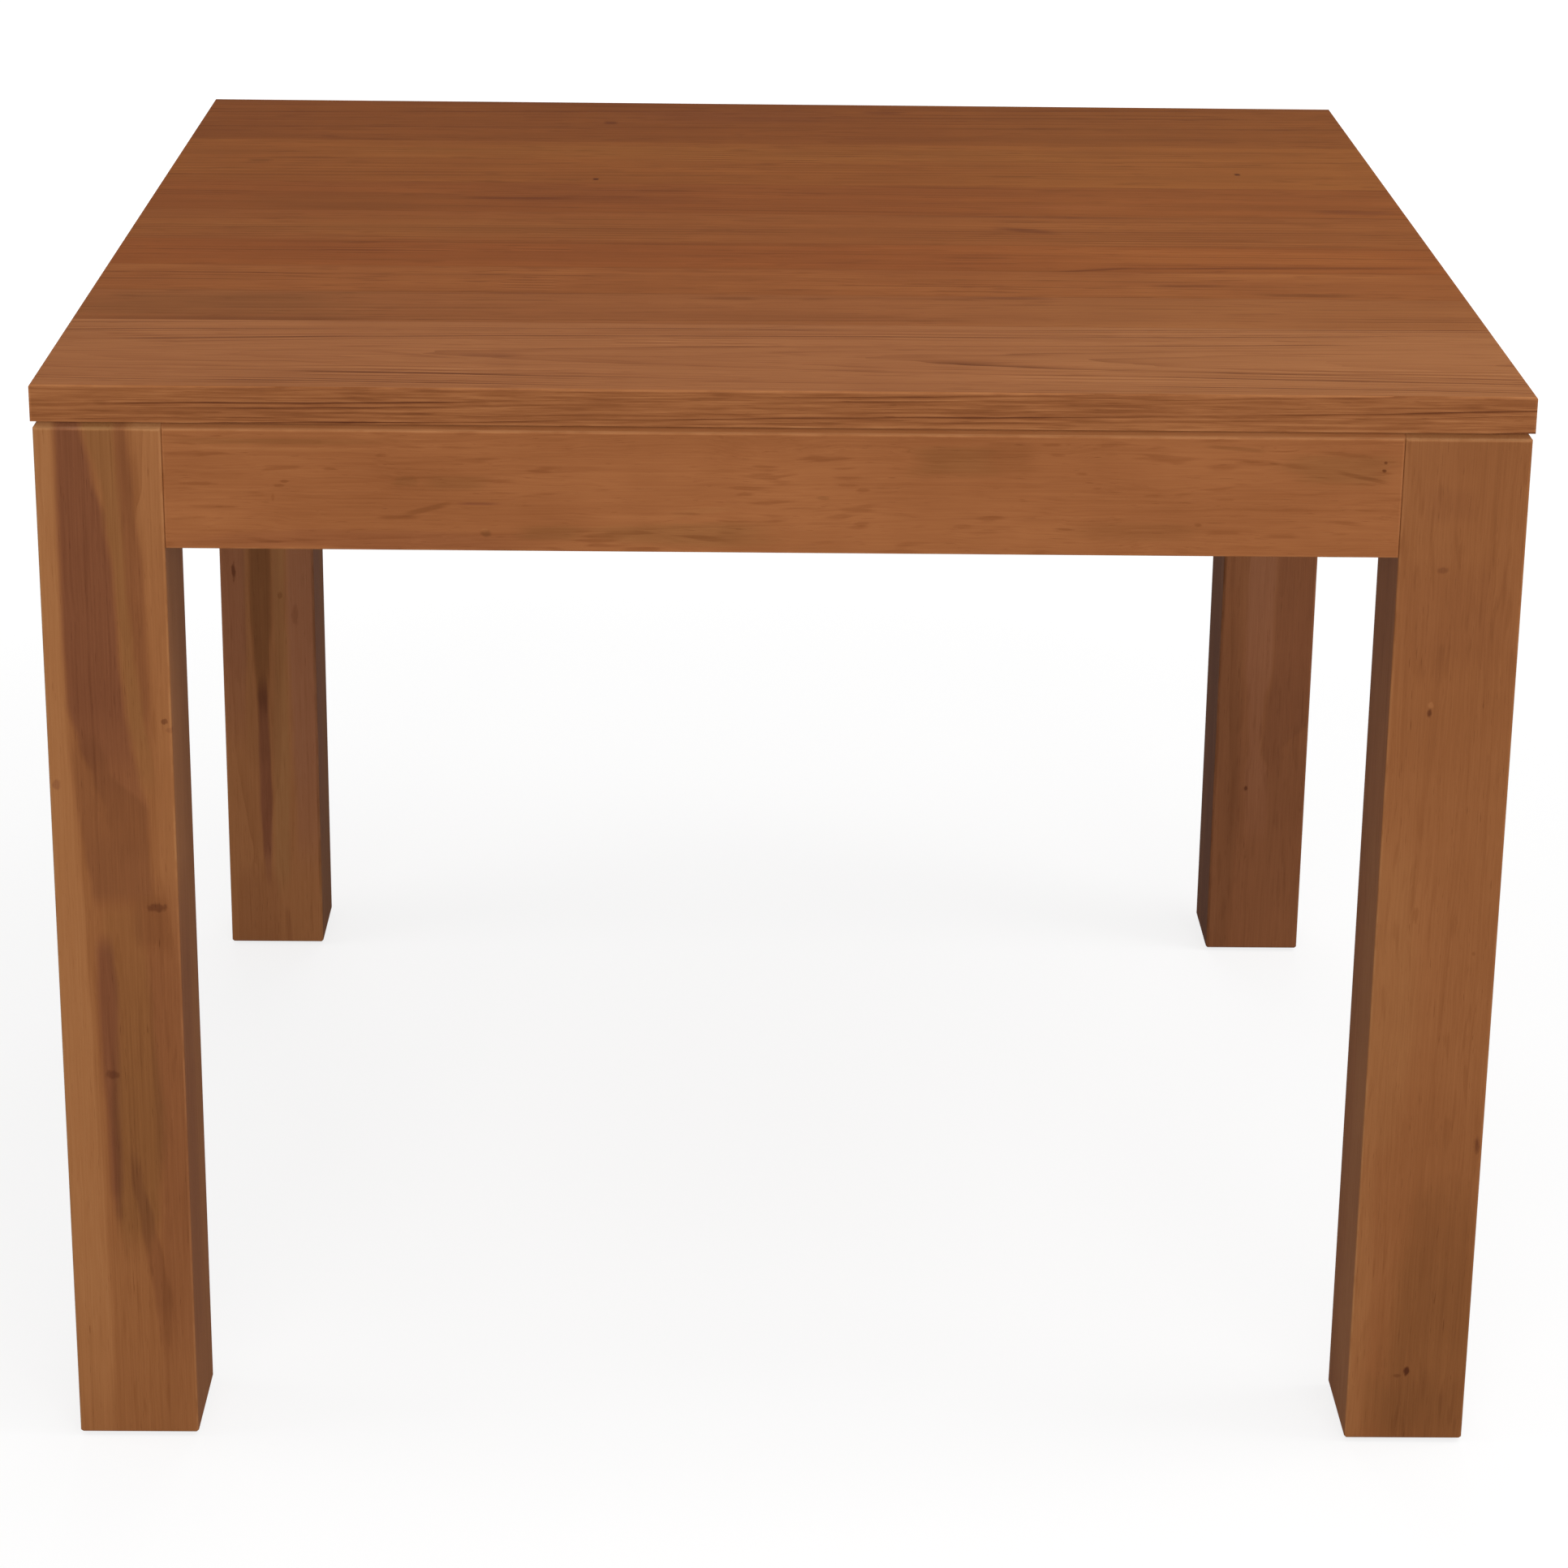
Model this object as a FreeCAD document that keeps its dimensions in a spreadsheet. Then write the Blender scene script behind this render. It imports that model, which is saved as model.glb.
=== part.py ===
import FreeCAD, Part
import os
import re
import Sketcher

# Square dining table in solid hardwood, with eight edge-glued boards on four square legs.
# X runs left to right along the grain of the top, Y from the front to the rear, Z up.
# The origin is on the floor under the middle of the top. All lengths are in millimetres.
#
# A corner comes apart like this: a hanger bolt stands in a flat on the leg's inner corner and
# passes through a mitred block that is keyed into two aprons. Its nut draws the leg against the
# ends of both. A centre rail, dovetailed into the front and rear aprons, keeps them straight.
# Screwed wooden buttons hold the top by the grooves in the aprons, where they can slide as the
# boards swell and shrink.

# Driving sizes: name, value, meaning
SIZES = [
    ("top_length", 1000, "top, left to right"),
    ("board_1_width", 182, "front board of the top"),
    ("board_2_width", 89, "second board"),
    ("board_3_width", 82, "third board"),
    ("board_4_width", 86, "fourth board"),
    ("board_5_width", 104, "fifth board"),
    ("board_6_width", 109, "sixth board"),
    ("board_7_width", 170, "seventh board"),
    ("board_8_width", 178, "rear board of the top"),
    ("top_thickness", 25, "thickness of the boards"),
    ("top_arris_radius", 1.5, "rounding of the top's outer edges"),
    ("table_height", 783, "floor to the top's upper face"),
    ("top_overhang", 1, "top past the legs' outer faces"),
    ("leg_width", 85, "side of the square leg"),
    ("leg_arris_radius", 2, "rounding of the leg's long edges"),
    ("foot_bevel", 1.5, "bevel round the leg's lower end"),
    ("edge_bevel", 5, "bevel on the outer upper edges of legs and aprons"),
    ("flat_cut", 34, "how far the flat on the inner corner reaches along each side of the leg"),
    ("flat_height", 80, "height of that flat, from the leg's upper end"),
    ("apron_height", 88, "apron, upper to lower edge"),
    ("apron_thickness", 24, "apron, outer to inner face"),
    ("apron_setback", 1, "apron behind the legs' outer faces"),
    ("apron_arris_radius", 1.5, "rounding of the apron's lower edges and outer ends"),
    ("groove_drop", 12, "button groove below the apron's upper edge"),
    ("groove_height", 7, "width of the button groove"),
    ("groove_depth", 8, "depth of the button groove"),
    ("block_gap", 4, "room to tighten between the leg's flat and the corner block"),
    ("block_thickness", 24, "corner block, front to back"),
    ("block_height", 70, "corner block, upper to lower edge"),
    ("block_drop", 4, "corner block below the top"),
    ("bolt_diameter", 8, "hanger bolt"),
    ("bolt_embed", 42, "hanger bolt in the leg"),
    ("bolt_proud", 4, "hanger bolt past its nut"),
    ("washer_diameter", 22, "washer under the nut"),
    ("washer_thickness", 2, "thickness of that washer"),
    ("nut_width", 13, "hexagon nut across its flats"),
    ("nut_thickness", 6.5, "thickness of that nut"),
    ("block_key_width", 7, "key on each end of the block, along its apron"),
    ("block_key_depth", 8, "key into the apron"),
    ("block_key_inset", 11, "key from the block's toe"),
    ("rail_thickness", 24, "centre rail, left to right"),
    ("rail_height", 60, "centre rail, upper to lower edge"),
    ("rail_tail_length", 12, "dovetail on each end of the rail, into the apron"),
    ("rail_tail_width", 20, "dovetail at its end"),
    ("rail_tail_neck", 14, "dovetail at the rail's shoulder"),
    ("rail_tail_height", 40, "dovetail, from the rail's upper edge"),
    ("end_relief", 0.5, "past the end of a key or dovetail in its slot"),
    ("button_length", 40, "button without its tongue"),
    ("button_width", 32, "button along the apron"),
    ("button_height", 20, "button, upper to lower face"),
    ("button_gap", 2, "button's shoulder from the apron"),
    ("button_tongue_length", 7, "button's tongue"),
    ("button_tongue_thickness", 6, "thickness of that tongue"),
    ("button_bevel", 3, "bevel on the button's lower end"),
    ("button_inset", 184, "button from the front or rear apron's end"),
    ("top_screw_diameter", 4, "screw up into the top"),
    ("top_screw_length", 35, "that screw under its head"),
    ("top_screw_head_diameter", 8, "its head"),
    ("top_screw_head_height", 2.5, "height of its head"),
    ("glide_diameter", 32, "foot glide"),
    ("glide_thickness", 3, "foot glide, leg to floor"),
    ("shank_clearance", 0.2, "round a screw or bolt in its hole"),
    ("bolt_hole_clearance", 0.75, "round a hanger bolt in the corner block"),
    ("washer_clearance", 0.3, "round a hanger bolt in its washer"),
    ("nut_clearance", 0.1, "round a hanger bolt in its nut"),
    ("cut_overrun", 1, "how far a cut starts outside the wood"),
]

# A board goes by the name of its width
BOARDS = [name for name, _, _ in SIZES if name.startswith("board_")]
FRONT_BOARD, REAR_BOARD = BOARDS[0], BOARDS[-1]
SIDE_BUTTON_BOARDS = ("board_2_width", "board_7_width")  # held at the left and right aprons

# Places that follow from the driving sizes: name, formula
PLACES = [
    ("top_depth", " + ".join(BOARDS)),
    ("top_underside", "table_height - top_thickness"),
    ("leg_length", "top_underside - glide_thickness"),
    ("corner_x", "top_length / 2 - top_overhang"),
    ("corner_y", "top_depth / 2 - top_overhang"),
    ("apron_bottom", "top_underside - apron_height"),
    ("apron_inner", "apron_setback + apron_thickness"),
    ("long_apron_length", "2 * (corner_x - leg_width)"),
    ("side_apron_length", "2 * (corner_y - leg_width)"),
    ("flat_reach", "2 * leg_width - flat_cut"),
    ("block_front", "flat_reach + block_gap * sqrt(2)"),
    ("block_back", "block_front + block_thickness * sqrt(2)"),
    ("block_bottom", "top_underside - block_drop - block_height"),
    ("key_near", "block_front - apron_inner + block_key_inset"),
    ("key_far", "key_near + block_key_width"),
    ("bolt_height", "block_bottom + block_height / 2"),
    ("bolt_start", "flat_reach / sqrt(2) - bolt_embed"),
    ("washer_start", "block_back / sqrt(2)"),
    ("nut_start", "washer_start + washer_thickness"),
    ("bolt_end", "nut_start + nut_thickness + bolt_proud"),
    ("rail_reach", "corner_y - apron_inner"),
    ("button_screw_place", "button_gap + button_length / 2"),
    ("long_button_place", "long_apron_length / 2 - button_inset"),
]

TOUCH = 1e-4  # two places closer than this are one place
DIAGONAL = 45  # degrees, a corner's diagonal from its apron
TO_DIAGONAL = 135  # degrees, turns a sketch on the XZ plane to face along that diagonal

doc = FreeCAD.newDocument("DiningTable")


def fill_sheet(name, rows):
    """Write rows of alias, cell text and meaning into a new sheet."""
    sheet = doc.addObject("Spreadsheet::Sheet", name)
    for row, (alias, text, meaning) in enumerate(rows, 1):
        sheet.set(f"A{row}", alias)
        sheet.set(f"B{row}", text)
        sheet.set(f"C{row}", meaning)
        sheet.setAlias(f"B{row}", alias)
    doc.recompute()
    return sheet


def formula(text):
    """Point each named size or place in a formula at its cell."""
    def cell(match):
        word = match.group()
        return f"{OWNER[word]}.{word}" if word in OWNER else word
    return re.sub(r"[a-z][a-z0-9_]*", cell, text)


OWNER = {name: "Sizes" for name, _, _ in SIZES} | {name: "Places" for name, _ in PLACES}
sizes = fill_sheet("Sizes", [(name, str(value), meaning) for name, value, meaning in SIZES])
places = fill_sheet("Places", [(name, "=" + formula(text).replace("Places.", ""), "")
                               for name, text in PLACES])


def value(text):
    """The present value of a formula of named sizes."""
    return float(places.evalExpression(formula(text)))


def bind(thing, field, text):
    thing.setExpression(field, formula(text))


def new_body(label, x="0", y="0", z="0", turn=0):
    """A piece with its own frame, placed in the table and turned about Z by whole degrees."""
    body = doc.addObject("PartDesign::Body", "".join(word.title() for word in label.split("_")))
    body.Label = label
    body.Placement = FreeCAD.Placement(FreeCAD.Vector(), FreeCAD.Rotation(turn, 0, 0))
    for axis, text in zip("xyz", (x, y, z)):
        bind(body, f"Placement.Base.{axis}", text)
    return body


def plane_of(body, role):
    return next(item for item in body.Origin.OriginFeatures if item.Role == role)


def new_sketch(body, role, x="0", y="0", z="0", turn=0):
    """A sketch on one of the body's own planes, moved to x, y, z and turned about Z.

    A sketch on the XZ plane has the body's Z as its upright axis and looks along -Y, and one on
    the YZ plane looks along +X.
    """
    sketch = body.newObject("Sketcher::SketchObject", f"{body.Name}Sketch")
    sketch.AttachmentSupport = [(plane_of(body, role), "")]
    sketch.MapMode = "FlatFace"
    spin = FreeCAD.Rotation(FreeCAD.Vector(0, 1, 0), turn)
    sketch.AttachmentOffset = FreeCAD.Placement(FreeCAD.Vector(), spin)
    offset = {"XY_Plane": (x, y, z), "XZ_Plane": (x, z, f"-({y})"), "YZ_Plane": (y, z, x)}[role]
    for axis, text in zip("xyz", offset):
        bind(sketch, f"AttachmentOffset.Base.{axis}", text)
    return sketch


def dimension(sketch, kind, geometry, point, text):
    """Dimension a point from the sketch's origin, or hold it on the axis where that is zero."""
    if text == "0":
        axis = -2 if kind == "DistanceX" else -1
        sketch.addConstraint(Sketcher.Constraint("PointOnObject", geometry, point, axis))
        return
    index = sketch.addConstraint(
        Sketcher.Constraint(kind, -1, 1, geometry, point, value(text)))
    bind(sketch, f"Constraints[{index}]", text)


def outline(sketch, points):
    """A closed outline of straight lines through points given as pairs of formulas."""
    spots = [FreeCAD.Vector(value(x), value(y), 0) for x, y in points]
    first = sketch.GeometryCount
    count = len(points)
    for number in range(count):
        line = Part.LineSegment(spots[number], spots[(number + 1) % count])
        sketch.addGeometry(line, False)
    for number in range(count):
        after = first + (number + 1) % count
        sketch.addConstraint(Sketcher.Constraint("Coincident", first + number, 2, after, 1))
    for number, (x, y) in enumerate(points):
        before = first + number - 1
        if number and x == points[number - 1][0]:
            sketch.addConstraint(Sketcher.Constraint("Vertical", before))
        else:
            dimension(sketch, "DistanceX", first + number, 1, x)
        if number and y == points[number - 1][1]:
            sketch.addConstraint(Sketcher.Constraint("Horizontal", before))
        else:
            dimension(sketch, "DistanceY", first + number, 1, y)


def rectangle(sketch, left, low, right, high):
    outline(sketch, [(left, low), (right, low), (right, high), (left, high)])


def circle(sketch, x, y, radius):
    centre = FreeCAD.Vector(value(x), value(y), 0)
    up = FreeCAD.Vector(0, 0, 1)
    number = sketch.addGeometry(Part.Circle(centre, up, value(radius)), False)
    dimension(sketch, "DistanceX", number, 3, x)
    dimension(sketch, "DistanceY", number, 3, y)
    index = sketch.addConstraint(Sketcher.Constraint("Radius", number, value(radius)))
    bind(sketch, f"Constraints[{index}]", radius)


def settle(body, feature):
    """Recompute and stop if the feature failed."""
    doc.recompute()
    if {"Invalid", "Error"} & set(feature.State) or not feature.Shape.isValid():
        raise RuntimeError(f"{feature.Name} of {body.Label} failed")
    return feature


def pad(body, sketch, length):
    """Grow the sketch along its normal."""
    feature = body.newObject("PartDesign::Pad", f"{body.Name}Pad")
    feature.Profile = sketch
    bind(feature, "Length", length)
    return settle(body, feature)


def removing(body, feature, stock):
    """Settle a cut and stop if it removed nothing."""
    settle(body, feature)
    if feature.Shape.Volume > stock - TOUCH:
        raise RuntimeError(f"{feature.Name} of {body.Label} cuts nothing")
    return feature


def pocket(body, sketch, depth, along=False):
    """Cut the sketch against its normal, or along it."""
    doc.recompute()
    stock = body.Shape.Volume
    feature = body.newObject("PartDesign::Pocket", f"{body.Name}Pocket")
    feature.Profile = sketch
    feature.Reversed = along
    bind(feature, "Length", depth)
    return removing(body, feature, stock)


def turned(body, sketch, axis):
    """Turn the sketch a full circle about its own H or V axis."""
    feature = body.newObject("PartDesign::Revolution", f"{body.Name}Turned")
    feature.Profile = sketch
    feature.ReferenceAxis = (sketch, [axis])
    feature.Angle = 360
    return settle(body, feature)


def edges_where(feature, wanted):
    """Names of the feature's straight edges whose box, as low and high corners, is wanted."""
    names = []
    for number, edge in enumerate(feature.Shape.Edges, 1):
        box = edge.BoundBox
        low = (box.XMin, box.YMin, box.ZMin)
        high = (box.XMax, box.YMax, box.ZMax)
        if wanted(low, high):
            names.append(f"Edge{number}")
    return names


def near(one, other):
    return abs(one - other) < TOUCH


def ease(body, kind, feature, size, wanted):
    """Round or bevel the feature's wanted edges."""
    stock = feature.Shape.Volume
    eased = body.newObject(f"PartDesign::{kind}", f"{body.Name}{kind}")
    eased.Base = (feature, edges_where(feature, wanted))
    bind(eased, "Radius" if kind == "Fillet" else "Size", size)
    return removing(body, eased, stock)


def repeat(body, originals, planes):
    """Repeat features by one mirror after another, each named by its plane."""
    pattern = body.newObject("PartDesign::MultiTransform", f"{body.Name}Pattern")
    mirrors = []
    for plane in planes:
        mirror = doc.addObject("PartDesign::Mirrored", f"{body.Name}Mirrored")
        mirror.MirrorPlane = (plane_of(body, plane), [""])
        mirrors.append(mirror)
    pattern.Originals = originals
    pattern.Transformations = mirrors
    body.Tip = pattern
    return settle(body, pattern)


# The four corners, each with its frame's place and turn: X and Y run inwards along the two aprons
CORNERS = [
    ("front_left", "-corner_x", "-corner_y", 0),
    ("front_right", "corner_x", "-corner_y", 90),
    ("rear_right", "corner_x", "corner_y", 180),
    ("rear_left", "-corner_x", "corner_y", 270),
]


def board_start(board):
    """The front edge of a board, from the top's front edge."""
    return " + ".join(["0"] + BOARDS[:BOARDS.index(board)])


def board_middle(board):
    """The middle of a board, from the table's middle."""
    return f"{board_start(board)} + {board} / 2 - top_depth / 2"


def add_board(board):
    """One board of the top, its outer edges rounded above and its screw holes bored from below."""
    label = "top_" + board.removesuffix("_width")
    body = new_body(label, "-top_length / 2", f"{board_start(board)} - top_depth / 2",
                    "top_underside")
    sketch = new_sketch(body, "XY_Plane")
    rectangle(sketch, "0", "0", "top_length", board)
    plank = pad(body, sketch, "top_thickness")
    length = value("top_length")
    high_face = value("top_thickness")
    outer = {FRONT_BOARD: 0, REAR_BOARD: value(board)}.get(board)

    def outside(low, high):
        if not near(low[2], high_face):
            return False
        across = near(high[0], 0) or near(low[0], length)
        along = outer is not None and near(low[1], outer) and near(high[1], outer)
        return across or along

    ease(body, "Fillet", plank, "top_arris_radius", outside)

    spots = screw_spots(board)
    if spots:
        holes = new_sketch(body, "XY_Plane")
        for x, y in spots:
            circle(holes, x, y, "top_screw_diameter / 2 + shank_clearance")
        pocket(body, holes, "top_screw_length - button_height + shank_clearance", along=True)
    return body


def screw_spots(board):
    """Where the buttons' screws enter a board from below, from the board's own corner."""
    inner = "top_overhang + apron_inner + button_screw_place"
    if board in SIDE_BUTTON_BOARDS:
        return [(x, f"{board} / 2") for x in (inner, f"top_length - ({inner})")]
    if board in (FRONT_BOARD, REAR_BOARD):
        y = inner if board == FRONT_BOARD else f"{board} - ({inner})"
        return [(f"top_length / 2 {side} long_button_place", y) for side in "-+"]
    return []


def add_apron(label, x, y, turn, length, housed):
    """An apron, with its outer face on its own XZ plane and its lower edge at its own Z = 0."""
    body = new_body(label, x, y, "apron_bottom", turn)
    thick, high = "apron_thickness", "apron_height"
    groove_top = f"{high} - groove_drop"
    groove_low = f"{groove_top} - groove_height"
    groove_in = f"{thick} - groove_depth"
    section = new_sketch(body, "YZ_Plane")
    outline(section, [
        ("0", "0"), (thick, "0"),
        (thick, groove_low), (groove_in, groove_low), (groove_in, groove_top),
        (thick, groove_top), (thick, high),
        ("edge_bevel", high), ("0", f"{high} - edge_bevel"),
    ])
    bar = pad(body, section, length)
    end = value(length)

    def handled(low, high):
        lower = near(high[2], 0) and near(low[1], high[1])
        outer_end = near(high[1], 0) and near(low[0], high[0]) and (
            near(low[0], 0) or near(low[0], end))
        return lower or outer_end

    ease(body, "Fillet", bar, "apron_arris_radius", handled)

    for sign, start in (("", "0"), ("-", length)):
        slot = new_sketch(body, "XY_Plane", z=high)
        rectangle(slot, f"{start} + {sign}(key_near - leg_width)",
                  f"{thick} - block_key_depth - end_relief",
                  f"{start} + {sign}(key_far - leg_width)", f"{thick} + cut_overrun")
        pocket(body, slot, "block_drop + block_height")
    if housed:
        socket = new_sketch(body, "XY_Plane", z=high)
        middle = f"{length} / 2"
        root = f"{thick} - rail_tail_length"
        outline(socket, [
            (f"{middle} - rail_tail_neck / 2", f"{thick} + cut_overrun"),
            (f"{middle} - rail_tail_neck / 2", thick),
            (f"{middle} - rail_tail_width / 2", root),
            (f"{middle} - rail_tail_width / 2", f"{root} - end_relief"),
            (f"{middle} + rail_tail_width / 2", f"{root} - end_relief"),
            (f"{middle} + rail_tail_width / 2", root),
            (f"{middle} + rail_tail_neck / 2", thick),
            (f"{middle} + rail_tail_neck / 2", f"{thick} + cut_overrun"),
        ])
        pocket(body, socket, "rail_tail_height")
    return body


def add_leg(place, x, y, turn):
    """A leg, with its outer corner at its own origin."""
    body = new_body(f"leg_{place}", x, y, "glide_thickness", turn)
    square = new_sketch(body, "XY_Plane")
    rectangle(square, "0", "0", "leg_width", "leg_width")
    post = pad(body, square, "leg_length")
    post = ease(body, "Fillet", post, "leg_arris_radius",
                lambda low, high: not near(low[2], high[2]))
    ease(body, "Chamfer", post, "foot_bevel", lambda low, high: near(high[2], 0))

    bevel = [
        ("-cut_overrun", "leg_length - edge_bevel - cut_overrun"),
        ("edge_bevel + cut_overrun", "leg_length + cut_overrun"),
        ("-cut_overrun", "leg_length + cut_overrun"),
    ]
    side = new_sketch(body, "YZ_Plane", x="-cut_overrun")
    outline(side, bevel)
    pocket(body, side, "leg_width + 2 * cut_overrun", along=True)
    side = new_sketch(body, "XZ_Plane", y="-cut_overrun")
    outline(side, bevel)
    pocket(body, side, "leg_width + 2 * cut_overrun")

    flat = new_sketch(body, "XY_Plane", z="leg_length + cut_overrun")
    outline(flat, [
        ("leg_width + cut_overrun", "flat_reach - leg_width - cut_overrun"),
        ("leg_width + cut_overrun", "leg_width + cut_overrun"),
        ("flat_reach - leg_width - cut_overrun", "leg_width + cut_overrun"),
    ])
    pocket(body, flat, "flat_height + cut_overrun")

    bore = new_sketch(body, "XZ_Plane", x="flat_reach / 2", y="flat_reach / 2",
                      z="bolt_height - glide_thickness", turn=TO_DIAGONAL)
    circle(bore, "0", "0", "bolt_diameter / 2 + shank_clearance")
    pocket(body, bore, "bolt_embed")
    return body


def add_corner_block(place, x, y, turn):
    """A mitred block across a corner, keyed into both aprons, in the frame of that leg."""
    body = new_body(f"corner_block_{place}", x, y, "block_bottom", turn)
    toe = "block_front - apron_inner"
    heel = "block_back - apron_inner"
    key_end = "apron_inner - block_key_depth"
    half = [
        (toe, "apron_inner"), ("key_near", "apron_inner"), ("key_near", key_end),
        ("key_far", key_end), ("key_far", "apron_inner"), (heel, "apron_inner"),
    ]
    plan = new_sketch(body, "XY_Plane")
    outline(plan, half + [(x, y) for y, x in reversed(half)])
    pad(body, plan, "block_height")

    bore = new_sketch(body, "XZ_Plane", x="block_back / 2", y="block_back / 2",
                      z="block_height / 2", turn=TO_DIAGONAL)
    circle(bore, "0", "0", "bolt_diameter / 2 + bolt_hole_clearance")
    pocket(body, bore, "block_thickness")
    return body


def add_hanger_bolts():
    """A bolt on each corner's diagonal, from the leg through the corner block."""
    body = new_body("hanger_bolts", z="bolt_height")
    half = new_sketch(body, "XZ_Plane", x="-corner_x", y="-corner_y", turn=DIAGONAL)
    rectangle(half, "bolt_start", "0", "bolt_end", "bolt_diameter / 2")
    bolt = turned(body, half, "H_Axis")
    repeat(body, [bolt], ["YZ_Plane", "XZ_Plane"])
    return body


def facing_the_leg(body, start):
    """A sketch across the front left corner's bolt, at a distance along its diagonal."""
    reach = f"({start}) / sqrt(2)"
    return new_sketch(body, "XZ_Plane", x=f"{reach} - corner_x", y=f"{reach} - corner_y",
                      turn=TO_DIAGONAL)


def add_bolt_washers():
    body = new_body("hanger_bolt_washers", z="bolt_height")
    ring = facing_the_leg(body, "washer_start")
    circle(ring, "0", "0", "washer_diameter / 2")
    circle(ring, "0", "0", "bolt_diameter / 2 + washer_clearance")
    washer = pad(body, ring, "washer_thickness")
    repeat(body, [washer], ["YZ_Plane", "XZ_Plane"])
    return body


def add_bolt_nuts():
    body = new_body("hanger_bolt_nuts", z="bolt_height")
    hexagon = facing_the_leg(body, "nut_start")
    outline(hexagon, [(f"nut_width / sqrt(3) * cos({60 * side + 30})",
                       f"nut_width / sqrt(3) * sin({60 * side + 30})") for side in range(6)])
    circle(hexagon, "0", "0", "bolt_diameter / 2 + nut_clearance")
    nut = pad(body, hexagon, "nut_thickness")
    repeat(body, [nut], ["YZ_Plane", "XZ_Plane"])
    return body


def add_centre_rail():
    """A rail on edge under the top, with a dovetail for the front and the rear apron."""
    body = new_body("centre_rail", z="top_underside - rail_height")
    plan = new_sketch(body, "XY_Plane")
    rectangle(plan, "-rail_thickness / 2", "-rail_reach", "rail_thickness / 2", "rail_reach")
    pad(body, plan, "rail_height")
    plan = new_sketch(body, "XY_Plane", z="rail_height - rail_tail_height")
    outline(plan, [
        ("-rail_tail_neck / 2", "rail_reach"),
        ("rail_tail_neck / 2", "rail_reach"),
        ("rail_tail_width / 2", "rail_reach + rail_tail_length"),
        ("-rail_tail_width / 2", "rail_reach + rail_tail_length"),
    ])
    tail = pad(body, plan, "rail_tail_height")
    repeat(body, [tail], ["XZ_Plane"])
    return body


def button(body, role, x, y):
    """A button with its tongue towards the front (YZ section) or the left (XZ section)."""
    reach = "button_gap - button_tongue_length"
    tongue_low = "-groove_drop - button_tongue_thickness"
    far = "button_gap + button_length"
    section = [
        (reach, "-groove_drop"), (reach, tongue_low),
        ("button_gap", tongue_low), ("button_gap", "-button_height"),
        (f"{far} - button_bevel", "-button_height"), (far, "button_bevel - button_height"),
        (far, "0"), ("button_gap", "0"), ("button_gap", "-groove_drop"),
    ]
    if role == "YZ_Plane":
        side = new_sketch(body, role, x=f"{x} - button_width / 2", y=y)
        outline(side, section)
        block = pad(body, side, "button_width")
        hole_x, hole_y = x, f"{y} + button_screw_place"
    else:
        side = new_sketch(body, role, x=x, y=f"{y} + button_width / 2")
        outline(side, section)
        block = pad(body, side, "button_width")
        hole_x, hole_y = f"{x} + button_screw_place", y
    hole = new_sketch(body, "XY_Plane", z="-button_height")
    circle(hole, hole_x, hole_y, "top_screw_diameter / 2 + shank_clearance")
    return [block, pocket(body, hole, "button_height", along=True)]


def add_buttons():
    """Two buttons along each apron, their upper faces against the top."""
    body = new_body("top_buttons", z="top_underside")
    made = button(body, "YZ_Plane", "long_button_place", "apron_inner - corner_y")
    repeat(body, made, ["YZ_Plane", "XZ_Plane"])
    made = []
    for board in SIDE_BUTTON_BOARDS:
        made += button(body, "XZ_Plane", "apron_inner - corner_x", board_middle(board))
    repeat(body, made, ["YZ_Plane"])
    return body


def upright_screw(body, x, y):
    """A pan-head screw up into the top, with the seat of its head at the body's Z = 0."""
    half = new_sketch(body, "XZ_Plane", x=x, y=y)
    shank, head = "top_screw_diameter / 2", "top_screw_head_diameter / 2"
    outline(half, [
        ("0", "-top_screw_head_height"), (head, "-top_screw_head_height"), (head, "0"),
        (shank, "0"), (shank, "top_screw_length"), ("0", "top_screw_length"),
    ])
    return turned(body, half, "V_Axis")


def add_button_screws():
    """A screw up through each button into the top."""
    body = new_body("top_button_screws", z="top_underside - button_height")
    inner = "apron_inner + button_screw_place"
    screw = upright_screw(body, "long_button_place", f"{inner} - corner_y")
    repeat(body, [screw], ["YZ_Plane", "XZ_Plane"])
    made = [upright_screw(body, f"{inner} - corner_x", board_middle(board))
            for board in SIDE_BUTTON_BOARDS]
    repeat(body, made, ["YZ_Plane"])
    return body


def add_glides():
    """A self-adhesive disc under the middle of each leg."""
    body = new_body("foot_glides")
    plan = new_sketch(body, "XY_Plane")
    circle(plan, "leg_width / 2 - corner_x", "leg_width / 2 - corner_y", "glide_diameter / 2")
    disc = pad(body, plan, "glide_thickness")
    repeat(body, [disc], ["YZ_Plane", "XZ_Plane"])
    return body


pieces = [add_board(board) for board in BOARDS]
pieces += [
    add_apron("front_apron", "-long_apron_length / 2", "apron_setback - corner_y", 0,
              "long_apron_length", True),
    add_apron("right_apron", "corner_x - apron_setback", "-side_apron_length / 2", 90,
              "side_apron_length", False),
    add_apron("rear_apron", "long_apron_length / 2", "corner_y - apron_setback", 180,
              "long_apron_length", True),
    add_apron("left_apron", "apron_setback - corner_x", "side_apron_length / 2", 270,
              "side_apron_length", False),
]
for corner in CORNERS:
    pieces += [add_leg(*corner), add_corner_block(*corner)]
pieces += [
    add_hanger_bolts(), add_bolt_washers(), add_bolt_nuts(), add_centre_rail(), add_buttons(),
    add_button_screws(), add_glides(),
]

doc.recompute()
for item in doc.Objects:
    if {"Invalid", "Error"} & set(item.State):
        raise RuntimeError(f"{item.Name} failed: {item.State}")
for piece in pieces:
    if piece.Shape.isNull() or not piece.Shape.isValid() or not piece.Shape.Solids:
        raise RuntimeError(f"{piece.Label} has no valid solid")

os.makedirs("parts", exist_ok=True)
for piece in pieces:
    piece.Shape.exportStep(f"parts/{piece.Label}.step")
    print(piece.Label, len(piece.Shape.Solids), round(piece.Shape.Volume))
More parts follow.
